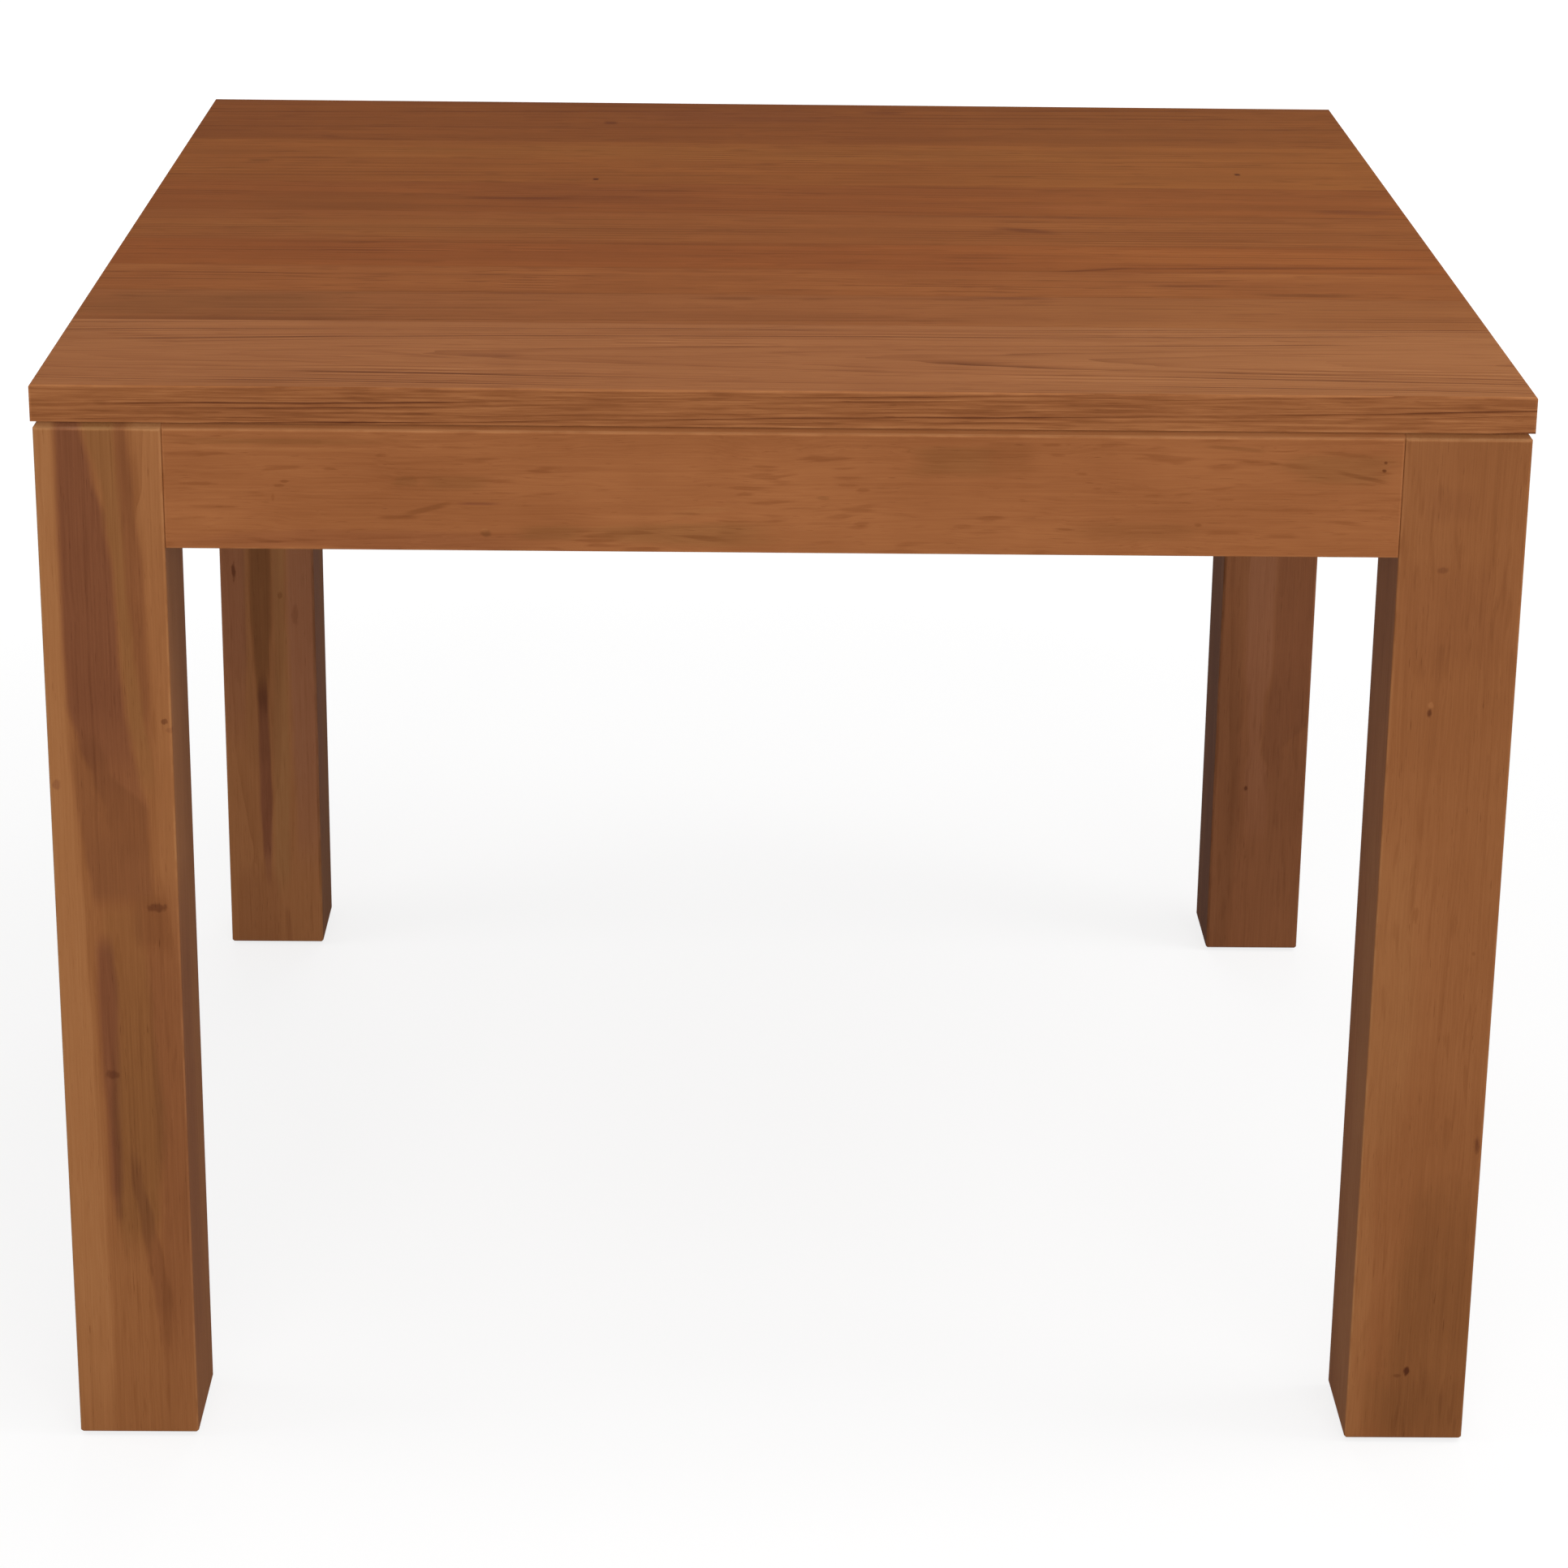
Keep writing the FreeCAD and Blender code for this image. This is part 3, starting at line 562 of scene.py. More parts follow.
board(
    8, pith=(0.52, 0.62), ring=0.006, tilt=(0.01, -0.015), tone=-0.1, tint=(0.98, 0.87, 0.62), tight=0.4,
    faded=0.95,
    marks=(
        (0, (-40, 440), (120, 44), 0, 0.45), (-16, (-143, 406), (7, 8, 20), 0, 0.3),
        (-8, (-330, 326), (70, 6)), (-10, (95, 463), (24, 8), 0, 0.3), (-6, (0, 500), (620, 34)),
    ),
)


# The legs. Each was cut near the heart of its log, so dark heartwood and pale sapwood run down it. A
# stripe that goes on past an end of the leg isn't closed there.

LEG_LOG = 10
LEG_FIGURE = dict(ring=0.0036, streaks=0.03, mottle=0.03, dashes=0.05)
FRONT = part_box("leg_front_left")[0].y / MM
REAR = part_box("leg_rear_left")[0].y / MM


def on_face(marks, face):
    """Marks told by x and z, on an upright face across y. A middle with three numbers stays as it is."""
    return [
        (tone, middle if len(middle) == 3 else (middle[0], face, middle[1]), *more)
        for tone, middle, *more in marks
    ]


def leg(number, node, face, marks, **told):
    told = {**LEG_FIGURE, **told}
    dress(node, wood(f"leg_wood_{number}", "z", LEG_LOG + number, box=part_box(node), beveled=True, face=face,
                     marks=on_face(marks, face), **told))


leg(
    1, "leg_front_left", pith=(-0.452, -0.62), tilt=(0.01, 0.01), tone=0.09, tint=(0.98, 1.05, 1.2),
    lines=0.12, threads=0.05, fuzz=0.1, wavy=0.0015, firm=0.5, face=FRONT,
    stripes=(
        (-16, 0.85, 0, 3.2, (
            (765, 14, 31), (720, 14, 38), (690, 14, 45), (650, 14, 49), (600, 14, 51), (560, 15, 54),
            (530, 21, 57, 0.85), (505, 29, 61, 0.6), (480, 37, 67, 0.45), (460, 43, 68, 0.3),
            (435, 46, 68, 0))),
        (-10, 0.4, 0.2, 3, (
            (548, 16, 32, 0), (515, 17, 40, 0.7), (480, 19, 66, 0.8), (450, 22, 67), (425, 26, 68),
            (404, 29, 66, 0))),
        (-13, 0.3, 0, 2.5, (
            (765, 54, 61), (700, 56, 65), (650, 58, 69), (600, 61, 70), (560, 65, 71), (520, 68, 72, 0))),
        (-4, 0, 0.8, 3, (
            (765, 33, 53), (700, 45, 56), (650, 50, 58), (600, 53, 61), (550, 56, 66), (515, 60, 72, 0.6),
            (485, 66, 74, 0))),
        (15, 0, 0.15, 2.5, (
            (765, -5, 12), (600, -5, 13), (450, -5, 18), (400, -5, 21), (300, -5, 24), (150, -5, 26),
            (60, -5, 26, 0.8), (-5, -5, 24, 0.4))),
        (13, 0, 0, 2.5, (
            (765, 66, 95), (700, 69, 95, 0.7), (650, 71, 95, 0.4), (560, 75, 95, 0.5), (500, 74, 95, 0.3),
            (440, 73, 95, 0.5), (415, 78, 95, 0.3), (370, 82, 95, 0))),
        (-13, 0.8, 0, 3.2, (
            (396, 29, 37, 0), (375, 28, 38), (350, 27, 40), (300, 28, 39), (250, 30, 38), (200, 30, 38),
            (182, 32, 37, 0.7), (165, 33, 37, 0))),
        (-9, 0, 0.8, 4, (
            (425, 36, 60, 0), (400, 34, 60, 0.5), (330, 39, 64, 0.8), (250, 34, 70), (180, 34, 64),
            (130, 38, 54, 0))),
        (-9, 0.3, 0, 4, (
            (450, 72, 95, 0), (400, 62, 95, 0.6), (350, 62, 95), (200, 66, 95), (100, 64, 95, 0.8),
            (40, 62, 95, 0.2), (-5, 60, 95, 0.1))),
        (-11, 0.3, 0, 2.0, (
            (235, 43, 47, 0), (205, 45, 52), (170, 50, 60), (140, 54, 66), (110, 58, 70), (85, 60, 69, 0.7),
            (60, 62, 67, 0))),
    ),
    marks=(
        (-18, (-429, 411), (9, 12, 4), 0, 0.4), (-8, (-434, 400), (16, 20, 26), 0, 0.2),
        (-16, (-465, 285), (6, 8, 4), 0, 0.5), (-26, (-419, 547), (3.0, 8, 2.6), 0, 0.3),
        (-10, (-415, 541), (4, 8, 2.6), 0, 0.2), (-12, (-494, 501), (3.5, 9, 4.5), 0, 0.4),
    ),
)
leg(
    2, "leg_front_right", pith=(0.4, -0.7), ring=0.004, tilt=(0.006, 0.01), tone=0.038, lines=0.05,
    bands=0.02, streaks=0.02, mottle=0.07, dashes=0.06, threads=0.03, fuzz=0.08, curl=0.02, wavy=0.003,
    firm=0.35, tint=(0.985, 1.05, 1.22), face=FRONT,
    stripes=(
        (7, 0, 0.2, 4, ((320, -5, 6, 0), (270, -5, 8, 0.6), (200, -5, 10), (120, -5, 12), (-5, -5, 11))),
        (7, 0, 0.3, 9, (
            (490, -5, 18, 0), (430, -5, 26, 0.8), (320, -5, 32), (250, -5, 24, 0.8), (210, -5, 12, 0))),
        (-8, 0, 0.5, 10, ((225, 45, 80, 0), (185, 38, 84, 0.6), (120, 30, 90), (60, 26, 95), (-5, 24, 95))),
        (2, 0, 0, 6, ((560, 0, 95, 0), (500, 0, 95), (300, 4, 95), (240, 10, 95, 0))),
    ),
    marks=(
        (-4, (452, 625), (56, 50, 52), 0, 0.1), (-3, (448, 708), (24, 30, 16), 0, 0.1),
        (-4, (465, 30), (50, 50, 30), 0, 0, 0.6), (-36, (441.5, 560), (1.9, 8, 4), 0, 0.2),
        (14, (442, 566), (2.6, 8, 3.2)), (-46, (456, 58), (2.8, 8, 5), 0, 0.1),
        (-14, (449, 54), (3.5, 8, 2)), (-12, (444, 662), (6, 8, 3), 0, 0.3),
        (-20, (495, 237), (3, 8, 8), 0, 0.3), (-10, (441, 412), (2.4, 8, 8)),
        (-10, (483, 383), (2, 8, 2)),
    ),
)
leg(
    3, "leg_rear_left", pith=(-0.47, 0.28), tilt=(0.01, 0.01), tone=0.19, tint=(1.0, 1.09, 1.33),
    lines=0.12, threads=0.04, fuzz=0.09, wavy=0.0015, firm=0.45, face=REAR,
    stripes=(
        (-20, 0.2, 0.9, 2.6, (
            (430, 27, 46), (320, 27, 46), (290, 28, 43), (250, 30, 41, 0.8), (215, 33, 38, 0))),
        (-8, 0.1, 0.3, 5, ((430, 20, 54), (300, 20, 54), (200, 20, 52, 0.8), (160, 22, 50, 0))),
        (-18, 0.9, 0, 1.6, (
            (280, 33, 38, 0), (240, 31, 40), (150, 31, 41), (100, 32, 40), (75, 33, 39, 0.5),
            (50, 34, 38, 0))),
        (4, 0, 0.7, 2.5, ((430, 47, 59), (300, 47, 58), (200, 44, 58), (80, 42, 56), (40, 44, 54, 0))),
        (4, 0.7, 0, 4, ((430, 62, 95), (300, 60, 95), (200, 62, 95), (120, 64, 95, 0.7), (60, 64, 95, 0))),
        (-5, 0.7, 0, 3, ((430, -5, 24), (300, -5, 22), (240, -5, 20, 0.6), (180, -5, 20, 0))),
        (-7, 0.1, 0, 4, ((90, 8, 42, 0), (60, 7, 45), (-5, 5, 46))),
        (-10, 0.1, 0, 1.4, ((45, 50, 53, 0), (30, 50, 55), (-5, 51, 56))),
    ),
    marks=(
        # The first mark is painted shade on the inner face, the one toward the middle of the table.
        (-26, (-414, 470, 200), (3, 90, 420), 0, 0, 0.6), (-36, (-486.5, 366), (2.2, 10, 12), 0, 0.4),
        (-16, (-445, 344), (3, 9, 4), 0, 0, 0.5), (-12, (-432, 325), (4, 9, 12), 0, 0.5),
    ),
)
leg(
    4, "leg_rear_right", pith=(0.47, 0.28), tilt=(-0.01, 0.01), tone=0.035, tint=(0.97, 1.065, 1.49),
    lines=0.1, mottle=0.035, threads=0.035, fuzz=0.08, wavy=0.002, firm=0.35, face=REAR,
    stripes=(
        (9, 0.3, 0, 3, (
            (430, 24, 49), (330, 23, 48), (280, 24, 49), (250, 27, 43), (200, 31, 42), (180, 28, 50),
            (130, 30, 52, 0.8), (90, 34, 50, 0))),
        (-6, 0.1, 0.4, 4, (
            (430, -5, 20, 0), (350, -5, 20, 0), (290, -5, 21, 0.8), (235, -5, 22), (150, -5, 24),
            (-5, -5, 20))),
        (-10, 0.1, 0.2, 8, (
            (310, 22, 95, 0), (240, 16, 95, 0.7), (150, 12, 95), (80, 10, 95, 0.7), (-5, 8, 95, 0.4))),
        (-5, 0.2, 0, 3, (
            (430, 50, 95), (330, 49, 95), (280, 50, 95), (240, 45, 95), (200, 43, 62, 0.8),
            (150, 52, 64, 0))),
    ),
    marks=(
        # The first mark is painted shade on the inner face, the one toward the middle of the table.
        (-24, (414, 470, 200), (3, 90, 420), 0, 0, 0.6), (-36, (444, 163), (2.0, 7, 3), 0, 0.2),
    ),
)


# The aprons. Only the front one shows in the photo, and it has most marks.

APRON_LOG = 20
PLAIN_APRON = dict(tone=0.14, tint=(1.0, 0.95, 1.02), lines=0.12, mottle=0.14, dashes=0.12, wavy=0.003)


def apron(number, node, grain, marks=(), **told):
    dress(node, wood(f"apron_wood_{number}", grain, APRON_LOG + number, box=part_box(node), beveled=True,
                     marks=on_face(marks, FRONT), **told))


apron(
    1, "front_apron", "x", pith=(-0.62, 0.8), ring=0.005, tilt=(0.0, 0.04), tone=0.145,
    tint=(1.0, 0.975, 1.08), lines=0.06, bands=0.03, streaks=0.035, mottle=0.15, threads=0.04, fuzz=0.11,
    dashes=0.13, curl=0.03, wavy=0.0045, firm=0.35,
    marks=(
        (-6, (-276, 677), (150, 30, 9), 0, 0.25), (-8, (-335, 745), (92, 30, 3.4), 0, 0, 0.6),
        (8, (-335, 740), (86, 20, 1.6), 0, 0, 0.2), (-5, (-220, 717), (28, 30, 7), 0, 0, 0.5),
        (-5, (-252, 718), (12, 30, 5), 0, 0, 0.5), (-12, (-257, 693), (16, 20, 1.6)),
        (-13, (-238, 699), (19, 20, 2.6), -0.26, 0, 0.2), (-10, (-204, 703), (17, 20, 1.4), 0, 0.6),
        (-10, (-390, 715.5), (15, 20, 1.8)), (-14, (-337, 714.7), (5, 8, 1.4)),
        (-16, (-333, 717.6), (4.5, 8, 1.4)), (-10, (-303, 726.6), (6, 8, 1.4)),
        (-8, (-341, 706), (1.6, 8, 4)), (-9, (-268, 736), (6, 8, 2)),
        (-14, (-199, 682.5), (5, 8, 3), 0, 0, 0.6), (10, (-200, 684.5), (3, 8, 1.6), 0, 0, 0.4),
        (-7, (-155, 683), (32, 30, 8), 0, 0, 0.7), (-4, (-72, 683), (84, 30, 10), 0, 0, 0.8),
        (6, (-100, 694), (42, 20, 2)), (5, (-55, 699), (26, 20, 3), -0.12, 0, 0.3),
        (5, (-92, 722), (60, 30, 24)), (-12, (-26, 711), (8, 10, 1.8)), (-12, (53, 714.5), (7, 10, 1.8)),
        (-9, (42, 718), (10, 10, 1.6)), (-8, (26, 709), (6, 10, 2), 0, 0, 0.5),
        (-4, (112, 735), (40, 30, 13), 0, 0, 0.7), (-10, (52, 691), (8, 10, 2.4)),
        (-9, (120, 690), (10, 10, 2.2)), (-10, (178, 747), (8, 10, 1.6)), (-10, (182, 740), (7, 10, 1.6)),
        (-9, (217, 747), (12, 10, 1.8)), (-12, (199, 727), (5.5, 8, 1.4)), (-8, (209, 717), (4, 8, 1.4)),
        (-12, (301, 745.5), (24, 20, 1.8), 0.07, 0, 0.4), (-11, (374, 742), (26, 20, 2), 0.08, 0, 0.3),
        (-13, (387, 726), (24, 20, 2), 0.22, 0, 0.3), (-3, (372, 730), (46, 30, 17), 0, 0, 0.7),
        (-9, (310, 736), (12, 10, 1.6)), (-9, (294, 710), (10, 10, 1.4)), (-8, (247, 712), (9, 10, 1.4)),
        (-12, (278, 692), (3.5, 8, 1.6)), (-10, (296, 687), (16, 20, 2.2)),
        (-10, (334, 685), (16, 20, 2.2)), (-5, (235, 687), (56, 30, 8), 0, 0, 0.3),
        (-5, (150, 738), (22, 30, 14), 0, 0, 0.2), (-38, (401.5, 736.5), (1.8, 6, 1.6)),
        (-38, (401, 731), (1.8, 6, 1.4)),
    ),
)
apron(2, "rear_apron", "x", pith=(0.62, 0.78), ring=0.0045, tilt=(0.02, -0.02), **PLAIN_APRON)
apron(3, "left_apron", "y", pith=(-0.6, 0.79), ring=0.0045, tilt=(0.02, 0.02), **PLAIN_APRON)
apron(4, "right_apron", "y", pith=(0.61, 0.8), ring=0.005, tilt=(0.02, -0.03), **PLAIN_APRON)


# Sandpaper has taken the last sharpness off the arrises that the solids leave sharp.

CORNER_APART = 0.00001
SANDED = 0.0006
SHARP = math.radians(32)

for name in LEGS + APRONS:
    weld = nodes[name].modifiers.new("weld", "WELD")
    weld.merge_threshold = CORNER_APART
    soft = nodes[name].modifiers.new("sanded", "BEVEL")
    soft.width = SANDED
    soft.segments = 2
    soft.limit_method = "ANGLE"
    soft.angle_limit = SHARP
    soft.harden_normals = False


# The parts nobody sees from above stay bare, as the planer left them.

BLOCK_LOG, RAIL_LOG, BUTTON_LOG = 30, 36, 37


def bare(node, name, grain, log, **told):
    dress(node, wood(f"inner_wood_{name}", grain, log, box=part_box(node), raw=True, **told))


for number, block in enumerate(BLOCKS, 1):
    low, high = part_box(block)
    turned = math.copysign(math.pi / 4, (low.x + high.x) * (low.y + high.y))
    bare(block, number, "x", BLOCK_LOG + number, pith=(0.2, 0.9), ring=0.004, turned=turned)
bare("centre_rail", "rail", "y", RAIL_LOG, pith=(0.05, 0.64), ring=0.005)
bare("top_buttons", "buttons", "x", BUTTON_LOG, pith=(0.4, 0.9), ring=0.003)


# Metal and nylon.

ZINC_SLOT, NYLON_SLOT = "zinc_steel", "glide_nylon"


def zinc():
    """Bright zinc plating: a faint crystal pattern, a breath of straw and blue, and fine scratches."""
    g = Graph(ZINC_SLOT)
    place = g.node("TexCoord").outputs["Object"]
    crystal = g.noise(place, 900.0, 3.0)
    cloud = g.noise(place, 120.0, 2.0)
    scratch = g.noise(place, (400.0, 400.0, 5000.0))
    shades = (0.0, linear(150, 146, 132)), (0.5, linear(186, 188, 188)), (1.0, linear(204, 210, 218))
    colour = g.ramp(g.add(g.swing(cloud, 0.5), g.swing(crystal, 0.25), 0.5), shades)
    dull = g.add(0.34, g.swing(crystal, 0.1), g.swing(scratch, 0.08))
    relief = g.bump(g.add(crystal, scratch), 0.3, 0.00003)
    return g.finish(Base_Color=colour, Roughness=dull, Normal=relief, Metallic=1.0)


def nylon():
    """Dark brown moulded nylon with the fine bloom of the mould and scuffs from the floor."""
    g = Graph(NYLON_SLOT)
    place = g.node("TexCoord").outputs["Object"]
    bloom = g.noise(place, 1400.0, 2.0)
    scuff = g.noise(place, (90.0, 700.0, 300.0), 3.0)
    colour = g.ramp(g.add(g.swing(bloom, 0.2), g.swing(scuff, 0.4), 0.5),
                    ((0.0, linear(38, 30, 26)), (0.6, linear(54, 44, 38)), (1.0, linear(92, 80, 70))))
    dull = g.add(0.48, g.swing(scuff, 0.12), g.swing(bloom, 0.05))
    relief = g.bump(bloom, 0.3, 0.00004)
    return g.finish(Base_Color=colour, Roughness=dull, Normal=relief, Specular_IOR_Level=0.4)


# Fasteners, with the threads and recesses that the solids leave out.

WELD = 1e-6


def meshed(shape, name):
    """A bmesh as a mesh."""
    mesh = bpy.data.meshes.new(name)
    shape.to_mesh(mesh)
    shape.free()
    return mesh


def put(name, data):
    """An object in the scene."""
    made = bpy.data.objects.new(name, data)
    scene.collection.objects.link(made)
    return made


def solids(node):
    """Each separate solid of a CAD node, as a list of its corners, in order of place."""
    shape = bmesh.new()
    shape.from_mesh(nodes[node].data)
    bmesh.ops.remove_doubles(shape, verts=shape.verts, dist=WELD)
    left = set(shape.verts)
    found = []
    while left:
        reached = [left.pop()]
        solid = []
        while reached:
            corner = reached.pop()
            solid.append(corner.co.copy())
            for edge in corner.link_edges:
                other = edge.other_vert(corner)
                if other in left:
                    left.remove(other)
                    reached.append(other)
        found.append(solid)
    shape.free()
    return sorted(found, key=lambda solid: tuple(round(value, 4) for value in centre(solid)))


def centre(corners):
    return Vector([(min(c[i] for c in corners) + max(c[i] for c in corners)) / 2 for i in range(3)])


def stand(solid, axis):
    """The placing of a turned piece along an axis through a solid, from the solid's start, and its length."""
    middle = centre(solid)
    reach = [(corner - middle).dot(axis) for corner in solid]
    start = middle + axis * min(reach)
    side = (UPWARD.cross(axis) if abs(axis.z) < 0.9 else Vector((1, 0, 0))).normalized()
    other = axis.cross(side)
    turn = Matrix((side, other, axis)).transposed().to_4x4()
    return Matrix.Translation(start) @ turn, max(reach) - min(reach)


def inward(solid):
    """The level direction from a corner of the table to its middle."""
    middle = centre(solid)
    return Vector((-math.copysign(1, middle.x), -math.copysign(1, middle.y), 0)).normalized()


def stands(node, axis=None):
    """The placing of each solid of a CAD node, along an axis or else inward, and the length of one."""
    found = [stand(solid, axis or inward(solid)) for solid in solids(node)]
    return [placing for placing, length in found], found[0][1]


def wall(shape, lower, upper):
    """Faces between two rings of corners. One of the rings may be a single point."""
    count = max(len(lower), len(upper))
    for step in range(count):
        following = (step + 1) % count
        order = ((lower, step), (lower, following), (upper, following), (upper, step))
        corners = [ring[place % len(ring)] for ring, place in order]
        shape.faces.new(list(dict.fromkeys(corners)))


def turned_shape(rows, segments, reach=None):
    """A shape turned round z. rows are (radius, height) from one end to the other, and a row of radius 0
    closes it. reach(row, angle) gives a radius of its own to any point."""
    shape = bmesh.new()
    rings = []
    for row, (radius, height) in enumerate(rows):
        if radius == 0:
            rings.append([shape.verts.new((0, 0, height))])
            continue
        ring = []
        for step in range(segments):
            angle = TURN * step / segments
            r, z = reach(row, angle) if reach else (radius, height)
            ring.append(shape.verts.new((r * math.cos(angle), r * math.sin(angle), z)))
        rings.append(ring)
    pairs = list(zip(rings, rings[1:]))
    if len(rings[0]) > 1:
        pairs.append((rings[-1], rings[0]))
    for lower, upper in pairs:
        wall(shape, lower, upper)
    bmesh.ops.recalc_face_normals(shape, faces=shape.faces)
    return meshed(shape, "turned")


def thread_rows(zones):
    """Rows and depths of a threaded rod. A zone is its end height, the steps to it, core and crest
    radius at its end, and the pitch."""
    rows = []
    height, core, crest = zones[0][0], zones[0][2], zones[0][3]
    for end, steps, last_core, last_crest, pitch in zones[1:]:
        for step in range(steps):
            share = step / steps
            rows.append((height + (end - height) * share, core + (last_core - core) * share,
                         crest + (last_crest - crest) * share, pitch))
        height, core, crest = end, last_core, last_crest
    rows.append((height, core, crest, zones[-1][4]))
    return rows


def threaded(rows, segments, before=(), after=()):
    """A threaded rod along z, with plain turned rows before and after it."""
    plain = len(before)
    profile = list(before) + [(crest, height) for height, core, crest, pitch in rows] + list(after)

    def reach(row, angle):
        if row < plain or row >= plain + len(rows):
            return profile[row]
        height, core, crest, pitch = rows[row - plain]
        if pitch == 0:
            return crest, height
        phase = (height / pitch - angle / TURN) % 1.0
        ridge = max(0.0, 1.0 - abs(phase - 0.5) * 2.6)
        return core + (crest - core) * min(1.0, ridge * 1.25), height

    return turned_shape(profile, segments, reach)


def cross_recess(mesh, arm, half, depth):
    """Cuts a cross for a driver into the face at z = 0, narrowing as it goes in."""
    shape = bmesh.new()
    rings = []
    for height, scale in ((-0.0005, 1.12), (depth, 0.45)):
        ring = []
        for quarter in range(4):
            turn = Matrix.Rotation(quarter * math.pi / 2, 4, "Z")
            for x, y in ((half, half), (arm, half), (arm, -half)):
                ring.append(shape.verts.new(turn @ Vector((x * scale, -y * (0.8 + 0.2 * scale), height))))
        rings.append(ring)
    lower, upper = rings
    wall(shape, lower, upper)
    shape.faces.new(list(reversed(lower)))
    shape.faces.new(upper)
    bmesh.ops.recalc_face_normals(shape, faces=shape.faces)
    cutter = put("cutter", meshed(shape, "cutter"))
    whole = put("whole", mesh)
    cut = whole.modifiers.new("recess", "BOOLEAN")
    cut.operation = "DIFFERENCE"
    cut.solver = "EXACT"
    cut.object = cutter
    bpy.context.view_layer.update()
    result = bpy.data.meshes.new_from_object(whole.evaluated_get(bpy.context.evaluated_depsgraph_get()))
    for made in (cutter, whole):
        bpy.data.objects.remove(made)
    return result


def place_all(node, ending, mesh, placings, material, slot, smooth=35):
    """One object of copies of a mesh, standing for a CAD node."""
    name = f"{node}_{ending}"
    shape = bmesh.new()
    for placing in placings:
        copy = mesh.copy()
        copy.transform(placing)
        shape.from_mesh(copy)
        bpy.data.meshes.remove(copy)
    joined = meshed(shape, name)
    joined.polygons.foreach_set("use_smooth", [True] * len(joined.polygons))
    joined.set_sharp_from_angle(angle=math.radians(smooth))
    joined.materials.clear()
    joined.materials.append(material)
    piece = put(name, joined)
    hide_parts(node)
    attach(piece, BODY)


steel = zinc(), ZINC_SLOT
plastic = nylon(), NYLON_SLOT

# Hanger bolts: a coarse wood thread in the leg, a plain neck, and a machine thread for the nut.
BOLT_R, NECK_R = 0.00396, 0.0036
WOOD_R, WOOD_PITCH, MACHINE_PITCH = BOLT_R * 0.98, 0.0032, 0.00125
bolts, bolt_length = stands("hanger_bolts")
bolt_rows = thread_rows((
    (0.0012, 0, 0.0009, 0.0011, 0),
    (0.007, 14, 0.0026, BOLT_R * 0.97, WOOD_PITCH),
    (0.038, 64, 0.0028, WOOD_R, WOOD_PITCH),
    (0.041, 6, NECK_R, WOOD_R, WOOD_PITCH),
    (0.045, 3, NECK_R, NECK_R, 0),
    (bolt_length - 0.001, 190, 0.0033, BOLT_R, MACHINE_PITCH),
    (bolt_length, 4, 0.003, 0.0031, MACHINE_PITCH),
))
bolt = threaded(bolt_rows, 20, before=[(0, 0)], after=[(0, bolt_length)])
place_all("hanger_bolts", "threaded", bolt, bolts, *steel, smooth=40)

# Washers, stamped, so their edges are a little round.
washers, thick = stands("hanger_bolt_washers")
WASHER_R, WASHER_BORE, ROUND = 0.011, 0.0043, 0.0003
washer = turned_shape((
    (WASHER_BORE, ROUND), (WASHER_BORE + ROUND, 0), (WASHER_R - ROUND, 0), (WASHER_R, ROUND),
    (WASHER_R, thick - ROUND), (WASHER_R - ROUND, thick), (WASHER_BORE + ROUND, thick),
    (WASHER_BORE, thick - ROUND),
), 48)
place_all("hanger_bolt_washers", "stamped", washer, washers, *steel)

# Nuts: a hexagon whose corners the cone of the chamfer cuts into curves.
NUT_FLAT, NUT_BORE, CHAMFER = 0.0065, 0.0041, math.radians(28)
NUT_FACE, NUT_MOUTH = NUT_FLAT * 0.97, NUT_BORE + 0.0004
nuts, tall = stands("hanger_bolt_nuts")


def nut_reach(row, angle):
    flat = (angle % (math.pi / 3)) - math.pi / 6
    outer = NUT_FLAT / math.cos(flat)
    drop = max(0.0, outer - NUT_FACE) * math.tan(CHAMFER)
    return ((NUT_BORE, tall / 2), (NUT_MOUTH, 0), (NUT_FACE, 0), (outer, drop), (outer, tall - drop),
            (NUT_FACE, tall), (NUT_MOUTH, tall))[row]


NUT_ROWS = 7
nut = turned_shape([(NUT_BORE, 0)] * NUT_ROWS, 72, nut_reach)
place_all("hanger_bolt_nuts", "hexagon", nut, nuts, *steel, smooth=25)

# Button screws: pan heads with a cross, a coarse thread and a point.
screws, screw_length = stands("top_button_screws", UPWARD)
HEAD_R, HEAD_TALL, SHANK_R, SCREW_R, CORE_R, SCREW_PITCH = 0.004, 0.0025, 0.0019, 0.00197, 0.0013, 0.0018
head = [(0, 0), (0.0012, 0.00002), (0.0023, 0.00012), (0.0031, 0.0004), (0.0037, 0.001), (HEAD_R, 0.0018),
        (HEAD_R, HEAD_TALL - 0.0001), (HEAD_R - 0.0001, HEAD_TALL)]
screw_rows = thread_rows((
    (HEAD_TALL, 0, CORE_R, SHANK_R, 0),
    (HEAD_TALL + 0.004, 4, CORE_R, SHANK_R, 0),
    (screw_length - 0.005, 90, CORE_R, SCREW_R, SCREW_PITCH),
    (screw_length - 0.0003, 16, 0.0001, 0.0003, SCREW_PITCH),
))
screw = threaded(screw_rows, 16, before=head, after=[(0, screw_length)])
screw = cross_recess(screw, 0.0021, 0.0005, 0.0016)
place_all("top_button_screws", "pan_head", screw, screws, *steel)

# Glides: moulded discs, dished below so that only a ring touches the floor.
glides, glide_tall = stands("foot_glides", UPWARD)
GLIDE_R = 0.016
glide = turned_shape((
    (0, 0.0009), (0.004, 0.0009), (0.0085, 0.0006), (0.0105, 0.0001), (0.0115, 0), (0.0135, 0),
    (0.0148, 0.0003), (0.0156, 0.001), (GLIDE_R, 0.0018), (GLIDE_R, glide_tall), (0, glide_tall),
), 64)
place_all("foot_glides", "moulded", glide, glides, *plastic)


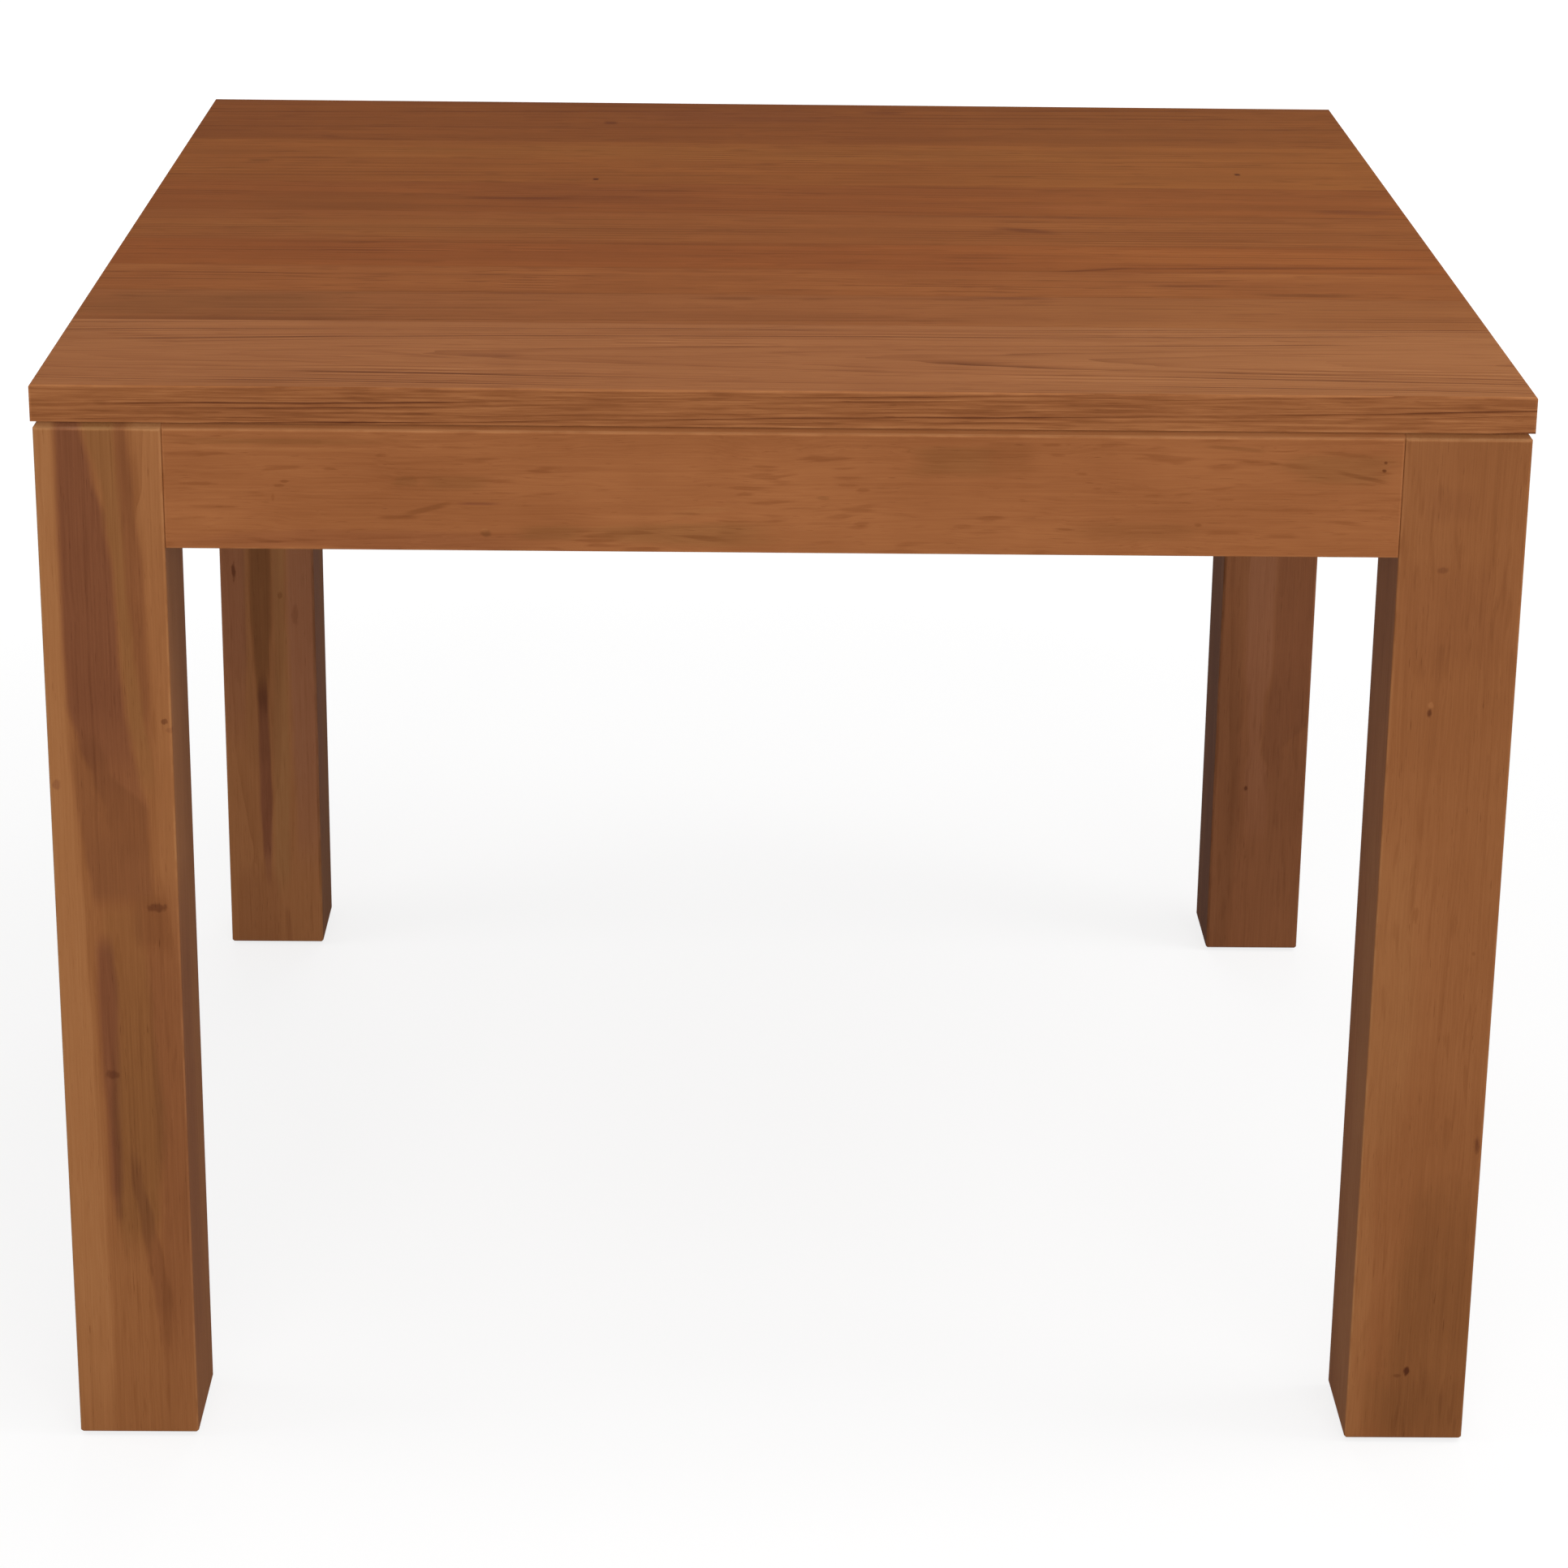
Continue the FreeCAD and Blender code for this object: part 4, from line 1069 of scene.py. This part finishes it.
# The studio: a pale floor, soft lamps, and white round about.

FLOOR_REACH = 14.0
SHADOW_REACH = (1.2, 3.2)
SHADOW_GLOW = 0.8
PAPER, SEEN_PAPER = 0.62, 0.22
WHITE = (1, 1, 1, 1)


def seen(g):
    """1 for the rays that show the white round about, and 0 for those that only carry light."""
    path = g.node("LightPath").outputs
    direct = g.math("MAXIMUM", path["Is Camera Ray"], path["Is Glossy Ray"])
    return g.math("MAXIMUM", direct, path["Is Transmission Ray"])


def floor_material():
    g = Graph("studio_floor")
    away = g.length(g.node("TexCoord").outputs["Object"])
    glow = g.fade(away, *SHADOW_REACH, SHADOW_GLOW)
    paper, thin = [
        g.node("BsdfDiffuse", {"Color": (grey, grey, grey, 1)}).outputs[0] for grey in (PAPER, SEEN_PAPER)
    ]
    light = g.node("Emission", {"Color": WHITE, "Strength": glow}).outputs[0]
    bright = g.node("AddShader", {0: thin, 1: light}).outputs[0]
    both = g.node("MixShader", {0: seen(g), 1: paper, 2: bright}).outputs[0]
    g.node("OutputMaterial", {"Surface": both})
    return g.owner


def floor():
    shape = bmesh.new()
    corners = ((-1, -1), (1, -1), (1, 1), (-1, 1))
    shape.faces.new([shape.verts.new((x * FLOOR_REACH, y * FLOOR_REACH, 0)) for x, y in corners])
    mesh = meshed(shape, "studio_floor")
    mesh.materials.append(floor_material())
    ground = put("studio_floor", mesh)


floor()

TABLE_MIDDLE = Vector((0, 0, 0.55))
# Each lamp's place, size and watts.
LAMPS = {
    "front_softbox": ((0.2, -4.2, 1.7), (3.8, 2.6), 95),
    "overhead_softbox": ((1.15, -0.9, 3.6), (3.0, 2.2), 38),
    "rear_softbox": ((0.0, 4.4, 2.0), (3.4, 2.2), 70),
    "left_softbox": ((-3.2, -0.4, 3.8), (1.8, 2.6), 32),
    "right_softbox": ((3.2, -0.4, 3.8), (1.8, 2.6), 48),
}
for name, (place, size, watts) in LAMPS.items():
    lamp = bpy.data.lights.new(name, "AREA")
    lamp.shape = "RECTANGLE"
    lamp.size, lamp.size_y = size
    lamp.energy = watts
    holder = put(name, lamp)
    holder.location = place
    holder.rotation_euler = (TABLE_MIDDLE - Vector(place)).to_track_quat("-Z", "Y").to_euler()
    holder.visible_camera = False
    holder.visible_glossy = name != "rear_softbox"

AMBIENT = 0.28
around = Graph("studio", bpy.data.worlds)
strength = around.fade(seen(around), 0.0, 1.0, AMBIENT)
background = around.node("Background", {"Color": WHITE, "Strength": strength}).outputs[0]
around.node("OutputWorld", {"Surface": background})
scene.world = around.owner

scene.view_settings.view_transform = "Standard"


# The camera, from the fit of the table's corners to the photograph of 1932 by 1932.

IMAGE_SIDE = 1932
FOCAL = 4962.37
SENSOR = 36.0
CAMERA_PLACE = Vector((-0.03503, -3.08041, 1.46997))
YAW, PITCH, ROLL = 0.01403, -0.31869, 0.01207
SHIFT = -0.1

forward = Vector((math.sin(YAW) * math.cos(PITCH), math.cos(YAW) * math.cos(PITCH), math.sin(PITCH)))
level = Vector((math.cos(YAW), -math.sin(YAW), 0))
upright = level.cross(forward)
right = math.cos(ROLL) * level + math.sin(ROLL) * upright
above = -math.sin(ROLL) * level + math.cos(ROLL) * upright
lens = bpy.data.cameras.new("camera")
lens.sensor_fit = "HORIZONTAL"
lens.sensor_width = SENSOR
lens.lens = FOCAL * SENSOR / IMAGE_SIDE
lens.shift_y = SHIFT
lens.clip_end = 60
camera = put("camera", lens)
turn = Matrix((right, above, -forward)).transposed().to_4x4()
camera.matrix_world = Matrix.Translation(CAMERA_PLACE) @ turn
scene.camera = camera
